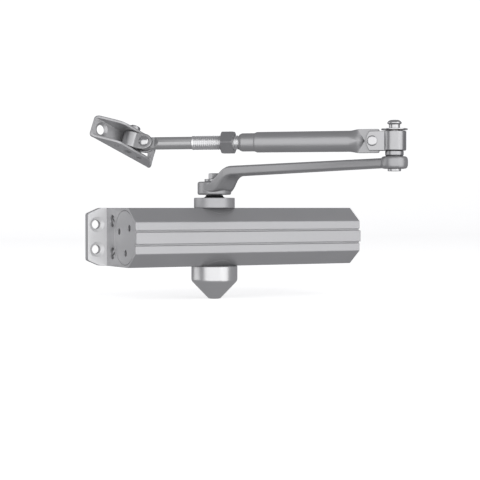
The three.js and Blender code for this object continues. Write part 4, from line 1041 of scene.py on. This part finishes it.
def tube_shell(f):
    """The tube, rows of sections along X around an angle a. Its half height falls from the tongue's to the
    tube's. Its half width is the tongue's where x is short of a chevron line, x0 + (x1 - x0)|z| / h, and beyond
    that it eases out to the round tube's, w = t (2 - t). Then come the crimp, its mouth and the bore."""
    start, apex, shoulder, full = f.tongue_start, f.chevron_apex, f.chevron_shoulder, f.tube_start
    tube_end, crimp_end = f.tube_end, f.crimp_end
    ease = 0.0012
    stations = np.concatenate([
        start + ease * (1 - np.cos(np.linspace(0, math.pi / 2, 5))), np.linspace(0.0142, 0.0232, 8),
        np.linspace(0.0236, 0.044, 50), np.linspace(0.05, tube_end, 12)])
    angle = np.linspace(0, 2 * math.pi, ROUND, endpoint=False)
    near, far = f.tube_near / 2, f.tube_far / 2
    radius = np.interp(stations, [full, tube_end], [near, far])
    high = f.tongue_height / 2
    fall = np.clip((stations - shoulder + 0.001) / (full + 0.001 - shoulder), 0, 1)
    fall = fall * fall * (3 - 2 * fall)
    height = high + (radius - high) * fall
    end_ease = np.clip((stations - start) / ease, 0, 1)
    height = height - ease * (1 - np.sqrt(1 - (1 - end_ease) ** 2))
    z = height[:, None] * np.sin(angle)
    spread = np.abs(z) / height[:, None]
    chevron = apex + (shoulder - apex) * spread
    t = np.clip((stations[:, None] - chevron) / 0.0115, 0, 1)
    open_up = t * (2 - t)
    cosine = np.cos(angle)
    flat = np.sign(cosine) * np.minimum(f.tongue_thickness / 2, np.abs(cosine) * high * 1.35)
    flat = flat * (0.82 + 0.18 * np.sqrt(np.clip(end_ease, 0, 1)))[:, None]
    round_side = height[:, None] * cosine
    y = flat + (round_side - flat) * open_up
    x = np.broadcast_to(stations[:, None], y.shape)
    outer = np.stack([x, y, z], axis=-1)
    crimp = f.crimp / 2
    mouth = f.thread / 2 + 2 * FIT
    bore, bore_start, bore_end = 0.0071, 0.042, tube_end - 0.003
    profile = softened([(far, tube_end + 0.0002), (crimp, tube_end + 0.0022), (crimp, crimp_end - 0.0021),
                        (crimp - 0.0010, crimp_end), (mouth, crimp_end), (mouth, bore_end), (bore, bore_end),
                        (bore, bore_start), (0, bore_start)], 0.0004, closed=False)
    rings = np.stack([np.broadcast_to(profile[:, 1:], (len(profile), ROUND)),
                      profile[:, :1] * np.cos(angle), profile[:, :1] * np.sin(angle)], axis=-1)
    cap = np.broadcast_to(np.array([start, 0, 0]), (1, ROUND, 3))
    return skin(np.concatenate([cap, outer, rings]))


class CLOSER_OT_forearm(bpy.types.Operator):
    """Forearm tube and its rivet"""
    bl_idname = "closer.forearm"
    bl_label = "Forearm tube"

    def execute(self, context):
        e, f = context.scene.closer_elbow, context.scene.closer_forearm
        build("forearm", tube_shell(f), FOREARM, "forearm", "silver_paint", "forearm_tube", look="grey_paint")
        grip = e.ear_gap + 2 * e.ear_thickness + 0.0002
        rivet = moved(rivet_shell(0.003, e.rivet_head / 2, 0.0016, grip), x=RIVET_START)
        build("elbow_rivet", rivet, FOREARM, "forearm", "bright_steel", "tongue_rivet")
        return {"FINISHED"}


class CLOSER_OT_lock_nut(bpy.types.Operator):
    """Lock nut on the rod"""
    bl_idname = "closer.lock_nut"
    bl_label = "Lock nut"

    def execute(self, context):
        f = context.scene.closer_forearm
        shell = along_x(hexagonal(f.nut_flats, 0, f.nut_thickness, f.thread / 2 + 2 * FIT, 2 * ROUND))
        made = mesh_object("hex_nut", moved(shell, x=NUT_START), FOREARM)
        bevelled(made, 0.0003)
        finished(made, "nut", "satin_steel", "lock_nut")
        return {"FINISHED"}


# ---- Rod ----

THREAD_START, THREAD_END = 0.1262, 0.1702  # of the bared thread, along the rod from the elbow


def rod_shell(f):
    """The rod, sections along X around an angle a. On the thread the radius falls from the crest by a rounded
    V once a pitch, its phase x / pitch - a / 2 pi. Towards the eye the sides are cut to a flat, and the eye's
    half height follows a circle about the rivet."""
    crest, plain = f.thread / 2, f.rod / 2
    cut = 0.42 * f.pitch
    columns = ROUND
    angle = np.linspace(0, 2 * math.pi, columns, endpoint=False)
    fine = np.arange(THREAD_START, THREAD_END, f.pitch / 12)
    phase = fine[:, None] / f.pitch - angle / (2 * math.pi)
    swing = 0.5 - 0.5 * np.cos(2 * math.pi * phase)
    fade = np.clip((THREAD_END - fine) / 0.002, 0, 1)[:, None]
    threaded = crest - cut * fade * swing ** 1.4
    rod_start, bevel = 0.092, 0.001
    shaved = crest - GAP
    head = np.array([(0, rod_start), (shaved - bevel, rod_start), (shaved, rod_start + bevel),
                     (shaved, THREAD_START - MOUTH)])
    eye = 0.0054
    rivet = KNUCKLE_START
    flat_start, flat_end = 0.199, 0.2035
    run = np.concatenate([np.linspace(THREAD_END + 0.0006, flat_start - 0.0005, 8),
                          np.linspace(flat_start, rivet - 0.0028, 16)])
    tip = rivet + eye * np.sin(np.linspace(-0.5, math.pi / 2, 22))
    x_tail = np.concatenate([run, tip])
    swell = np.sqrt(np.clip(eye ** 2 - (x_tail - rivet) ** 2, 0, None))
    tall = np.where(x_tail < rivet, np.maximum(plain, swell), swell)
    flat = 0.0023
    thick = np.interp(x_tail, [flat_start, flat_end], [plain, flat])
    y_tail = np.clip(1.02 * plain * np.cos(angle), -thick[:, None], thick[:, None])
    z_tail = tall[:, None] * np.sin(angle)
    rows = [
        np.stack([np.broadcast_to(head[:, 1:], (len(head), columns)), head[:, :1] * np.cos(angle),
                  head[:, :1] * np.sin(angle)], axis=-1),
        np.stack([np.broadcast_to(fine[:, None], threaded.shape), threaded * np.cos(angle),
                  threaded * np.sin(angle)], axis=-1),
        np.stack([np.broadcast_to(x_tail[:, None], y_tail.shape), y_tail, z_tail], axis=-1),
        np.broadcast_to(np.array([rivet + eye, 0, 0]), (1, columns, 3))]
    return skin(np.concatenate(rows))


class CLOSER_OT_rod(bpy.types.Operator):
    """Threaded rod and the knuckle's rivet"""
    bl_idname = "closer.rod"
    bl_label = "Rod"

    def execute(self, context):
        f, foot = context.scene.closer_forearm, context.scene.closer_foot
        rod = build("rod", rod_shell(f), ROD, "rod", "bright_steel", "threaded_rod", look="plain_rod")
        rod.data.materials.append(finish("bright_thread"))
        reach = (face_facts(rod)[0] - ROD.origin) @ ROD.axes[0]
        rod.data.polygons.foreach_set("material_index", (reach < THREAD_END).astype(int))
        rivet = rivet_shell(0.0025, foot.knuckle_rivet_head / 2, 0.0027, 0.0106)
        build("knuckle_pin", moved(rivet, x=KNUCKLE_START), ROD, "rod", "bright_steel", "knuckle_rivet")
        return {"FINISHED"}


# ---- Knuckle ----

class CLOSER_OT_knuckle(bpy.types.Operator):
    """Knuckle with its barrel and ears"""
    bl_idname = "closer.knuckle"
    bl_label = "Knuckle"

    def execute(self, context):
        foot = context.scene.closer_foot
        half, wide = foot.barrel_height / 2, foot.barrel / 2
        bore, root, sheet = wide - 0.0027, BARREL_START - wide + 0.0027, foot.ear_thickness
        barrel = soft_turned([(bore, -half), (wide, -half), (wide, half), (bore, half)],
                             [0.0004, 0.0009, 0.0009, 0.0004], ring=True)
        angle = np.linspace(math.pi / 2, 1.5 * math.pi, 33)
        ear = np.concatenate([[(root, half)], half * np.column_stack([np.cos(angle), np.sin(angle)]),
                              [(root, -half)]])
        bolt = circle(0.0028, hole=True)
        ears = [upright(slab(ear, low, low + sheet, 0.0006, [(bolt, [(0, low + sheet), (0, low)])]))
                for low in (-2 * sheet, sheet)]
        shell = joined(moved(barrel, x=BARREL_START), *ears)
        build("knuckle", shell, KNUCKLE, "knuckle", "satin_steel", "knuckle_strap")
        return {"FINISHED"}


# ---- Bracket ----

def smaller(a, b, ease):
    """The smaller of two values, eased where they meet: min(a, b) - max(ease - |a - b|, 0)^2 / 4 ease."""
    return np.minimum(a, b) - np.maximum(ease - np.abs(a - b), 0) ** 2 / (4 * ease)


BARREL_PLAY = 0.00055  # between the barrel and each flange


def channel_shell(foot):
    """The bracket, a bent channel carried along X. The flanges' depth climbs from nothing at the ends along a
    ramp to its full value, eased at the corner, and the ends' corners are drawn in along a circle."""
    half, sheet, back = foot.bracket_length / 2, foot.sheet, foot.pivot_to_back
    inner = foot.barrel_height / 2 + BARREL_PLAY
    outer = inner + sheet
    corner = 0.0026
    stations = np.unique(np.concatenate([
        half - corner * (1 - np.sin(np.linspace(0, math.pi / 2, 9))), np.linspace(0, half - corner, 60)]))
    stations = np.concatenate([-stations[:0:-1], stations])
    reach = np.abs(stations)
    ramp = sheet + (half - reach) * (foot.flange_depth - sheet) / foot.ramp
    depth = smaller(np.full_like(reach, foot.flange_depth), ramp, 0.005)
    tip = back - np.maximum(depth, sheet + 0.0002)
    beyond = np.clip(reach - (half - corner), 0, corner)
    draw = corner - np.sqrt(corner ** 2 - beyond ** 2)
    outline = np.array([(0, outer), (back, outer), (back, -outer), (0, -outer), (0, -inner),
                        (back - sheet, -inner), (back - sheet, inner), (0, inner)])
    corners = np.repeat(outline[None], len(stations), axis=0)
    corners[:, [0, 3, 4, 7], 0] = tip[:, None]
    radii = np.array([0.001, foot.bend, foot.bend, 0.001, 0.001, 0.0008, 0.0008, 0.001])
    section = corner_curves(corners, radii, steps=7)
    y, z = section[..., 0], section[..., 1] * (outer - draw)[:, None] / outer
    x = np.broadcast_to(stations[:, None], y.shape)
    body = np.stack([x, y, z], axis=-1)
    caps = [np.broadcast_to(np.array([row[0, 0], back - sheet / 2, 0.0]), row.shape)
            for row in (body[0], body[-1])]
    return skin(np.concatenate([caps[0][None], body, caps[1][None]]))


class CLOSER_OT_bracket(bpy.types.Operator):
    """Frame bracket and its pivot screw"""
    bl_idname = "closer.bracket"
    bl_label = "Bracket"

    def execute(self, context):
        foot = context.scene.closer_foot
        back, sheet = foot.pivot_to_back, foot.sheet
        made = mesh_object("channel", channel_shell(foot), BRACKET)
        outer = foot.barrel_height / 2 + BARREL_PLAY + sheet
        hole, sink = foot.screw_hole / 2, foot.countersink / 2
        beyond = 0.001  # how far a cut runs past the sheet
        front, behind = back - sheet, back + beyond
        screw = turned([(0, behind), (hole, behind), (hole, front + 0.0016), (sink, front),
                        (sink, front - beyond), (0, front - beyond)], SMALL_ROUND)
        spare, below, above = 0.0021, -outer - beyond, -outer + 0.004
        bolt = turned([(0, below), (spare, below), (spare, above), (0, above)], SMALL_ROUND)
        tools = [moved(along_y(screw), x=side * (foot.bracket_length / 2 - foot.screw_inset)) for side in (-1, 1)]
        tools += [moved(bolt, x=side * foot.pivot_hole_spacing / 2) for side in (-1, 1)]
        drilled(made, tools, BRACKET)
        finished(made, "bracket", "silver_paint", "frame_bracket")
        low = outer + GAP
        shaft, slot_width, slot_depth, edge = 0.003, 0.0016, 0.0015, 0.0012
        head = slotted(foot.pivot_head / 2, low, low + foot.pivot_head_height, slot_width, slot_depth, edge)
        shank = turned([(0, -outer), (shaft, -outer), (shaft, low + SHY), (0, low + SHY)], SMALL_ROUND)
        build("pivot", joined(head, shank), BRACKET, "bracket", "satin_steel", "pivot_screw")
        return {"FINISHED"}


# ---- Parts inside, and the stage ----

class CLOSER_OT_inside(bpy.types.Operator):
    """Finishes on the parts inside the housing and on the bushes"""
    bl_idname = "closer.inside"
    bl_label = "Inner parts"

    def execute(self, context):
        slots = {part["node"]: part["material_slot"] for part in frame["record"]["subparts"]}
        for name, node in frame["nodes"].items():
            node.data.materials.clear()
            node.data.materials.append(finish(slots[name]))
        return {"FINISHED"}


AIM = (-0.02, -0.12, 0.02)  # where the lights point
LIGHTS = (  # name, middle, width, height, power
    ("front_light", (-1.10, -1.80, 0.15), 4.0, 3.0, 42),
    ("key_light", (0.92, -1.85, 0.20), 1.3, 3.6, 18),
    ("back_light", (-1.9, 1.3, 0.4), 1.8, 1.8, 9),
)
CAMERA_PLACE = (-0.577, -1.182, 0.028)
CAMERA_DOWN, CAMERA_TURN = math.radians(1.42), math.radians(27.1)


def panel_light(name, middle, aim, width, height, power):
    """A soft rectangular light that faces a point."""
    light = bpy.data.lights.new(name, "AREA")
    light.shape, light.size, light.size_y, light.energy = "RECTANGLE", width, height, power
    made = bpy.data.objects.new(name, light)
    bpy.context.scene.collection.objects.link(made)
    away = np.array(middle, float) - np.array(aim, float)
    flat = math.hypot(away[0], away[1])
    made.location = middle
    made.rotation_euler = (math.atan2(flat, away[2]), 0, math.atan2(away[0], -away[1]))
    return made


def sweep_shell(low):
    """A floor that turns up into a wall along a quarter circle, carried along X."""
    bend = np.linspace(0, math.pi / 2, 24)
    front, start, radius, top, half_width = -4.0, 2.2, 0.9, 4.0, 6
    curve = np.column_stack([start + radius * np.sin(bend), low + radius * (1 - np.cos(bend))])
    path = np.concatenate([[(front, low)], curve, [(start + radius, top)]])
    x = np.linspace(-half_width, half_width, 7)
    points = np.stack([np.broadcast_to(x, (len(path), 7)), np.broadcast_to(path[:, :1], (len(path), 7)),
                       np.broadcast_to(path[:, 1:], (len(path), 7))], axis=-1)
    rows, columns = np.arange(len(path) - 1)[:, None], np.arange(6)[None, :]
    first = rows * 7 + columns
    faces = np.stack([first, first + 1, first + 8, first + 7], axis=-1)
    return points.reshape(-1, 3), faces.reshape(-1, 4).tolist()


class CLOSER_OT_stage(bpy.types.Operator):
    """Pale floor, soft lights and camera"""
    bl_idname = "closer.stage"
    bl_label = "Stage"

    def execute(self, context):
        stage = context.scene.closer_stage
        low = FRAME_BOUNDS[0][2]
        points, faces = sweep_shell(low - 0.0004)
        mesh = bpy.data.meshes.new("floor")
        mesh.from_pydata(points.tolist(), [], faces)
        mesh.shade_smooth()
        floor = bpy.data.objects.new("floor", mesh)
        context.scene.collection.objects.link(floor)
        pale = Finish("pale_floor", tuple(stage.floor), 0.9, metallic=0.0, grain=60, bump=0.0, drift=0.008)
        pale.shader.inputs["Emission Color"].default_value = (1, 1, 1, 1)
        pale.shader.inputs["Emission Strength"].default_value = 0.62
        mesh.materials.append(pale.material)
        floor.visible_glossy = False
        floor.visible_shadow = False
        floor.visible_diffuse = False
        for name, middle, width, height, power in LIGHTS:
            panel_light(name, middle, AIM, width, height, power)
        world = bpy.data.worlds.new("surround")
        world.use_nodes = True
        world.node_tree.nodes["Background"].inputs["Color"].default_value = (*stage.surround, 1)
        context.scene.world = world
        lens = bpy.data.cameras.new("camera")
        lens.lens = stage.lens
        lens.sensor_width = 36
        camera = bpy.data.objects.new("camera", lens)
        camera.location = CAMERA_PLACE
        camera.rotation_euler = (math.pi / 2 - CAMERA_DOWN, 0, -CAMERA_TURN)
        context.scene.collection.objects.link(camera)
        context.scene.camera = camera
        context.scene.view_settings.view_transform = "Standard"
        return {"FINISHED"}


# ---- Panel and registering ----

OPERATORS = (
    CLOSER_OT_housing, CLOSER_OT_ends, CLOSER_OT_glands, CLOSER_OT_cap, CLOSER_OT_arm, CLOSER_OT_arm_screw,
    CLOSER_OT_elbow, CLOSER_OT_forearm, CLOSER_OT_lock_nut, CLOSER_OT_rod, CLOSER_OT_knuckle, CLOSER_OT_bracket,
    CLOSER_OT_inside, CLOSER_OT_stage)
GROUPS = {
    "closer_finishes": CloserFinishes, "closer_housing": CloserHousing, "closer_ends": CloserEnds,
    "closer_pinion": CloserPinion, "closer_arm": CloserArm, "closer_elbow": CloserElbow,
    "closer_forearm": CloserForearm, "closer_foot": CloserFoot, "closer_stage": CloserStage}


class CLOSER_PT_pieces(bpy.types.Panel):
    """The closer's pieces, in the order that they are built"""
    bl_idname = "CLOSER_PT_pieces"
    bl_label = "Door closer"
    bl_space_type = "VIEW_3D"
    bl_region_type = "UI"
    bl_category = "Door closer"

    def draw(self, context):
        for operator in OPERATORS:
            self.layout.operator(operator.bl_idname)


def register():
    for group in GROUPS.values():
        bpy.utils.register_class(group)
    for name, group in GROUPS.items():
        setattr(bpy.types.Scene, name, bpy.props.PointerProperty(type=group))
    for operator in OPERATORS:
        bpy.utils.register_class(operator)
    bpy.utils.register_class(CLOSER_PT_pieces)


def unregister():
    bpy.utils.unregister_class(CLOSER_PT_pieces)
    for operator in reversed(OPERATORS):
        bpy.utils.unregister_class(operator)
    for name in GROUPS:
        delattr(bpy.types.Scene, name)
    for group in GROUPS.values():
        bpy.utils.unregister_class(group)


def main():
    register()
    bpy.ops.closer.housing()
    bpy.ops.closer.ends()
    bpy.ops.closer.glands()
    bpy.ops.closer.cap()
    bpy.ops.closer.arm()
    bpy.ops.closer.arm_screw()
    bpy.ops.closer.elbow()
    bpy.ops.closer.forearm()
    bpy.ops.closer.lock_nut()
    bpy.ops.closer.rod()
    bpy.ops.closer.knuckle()
    bpy.ops.closer.bracket()
    bpy.ops.closer.inside()
    bpy.ops.closer.stage()


if __name__ == "__main__":
    main()
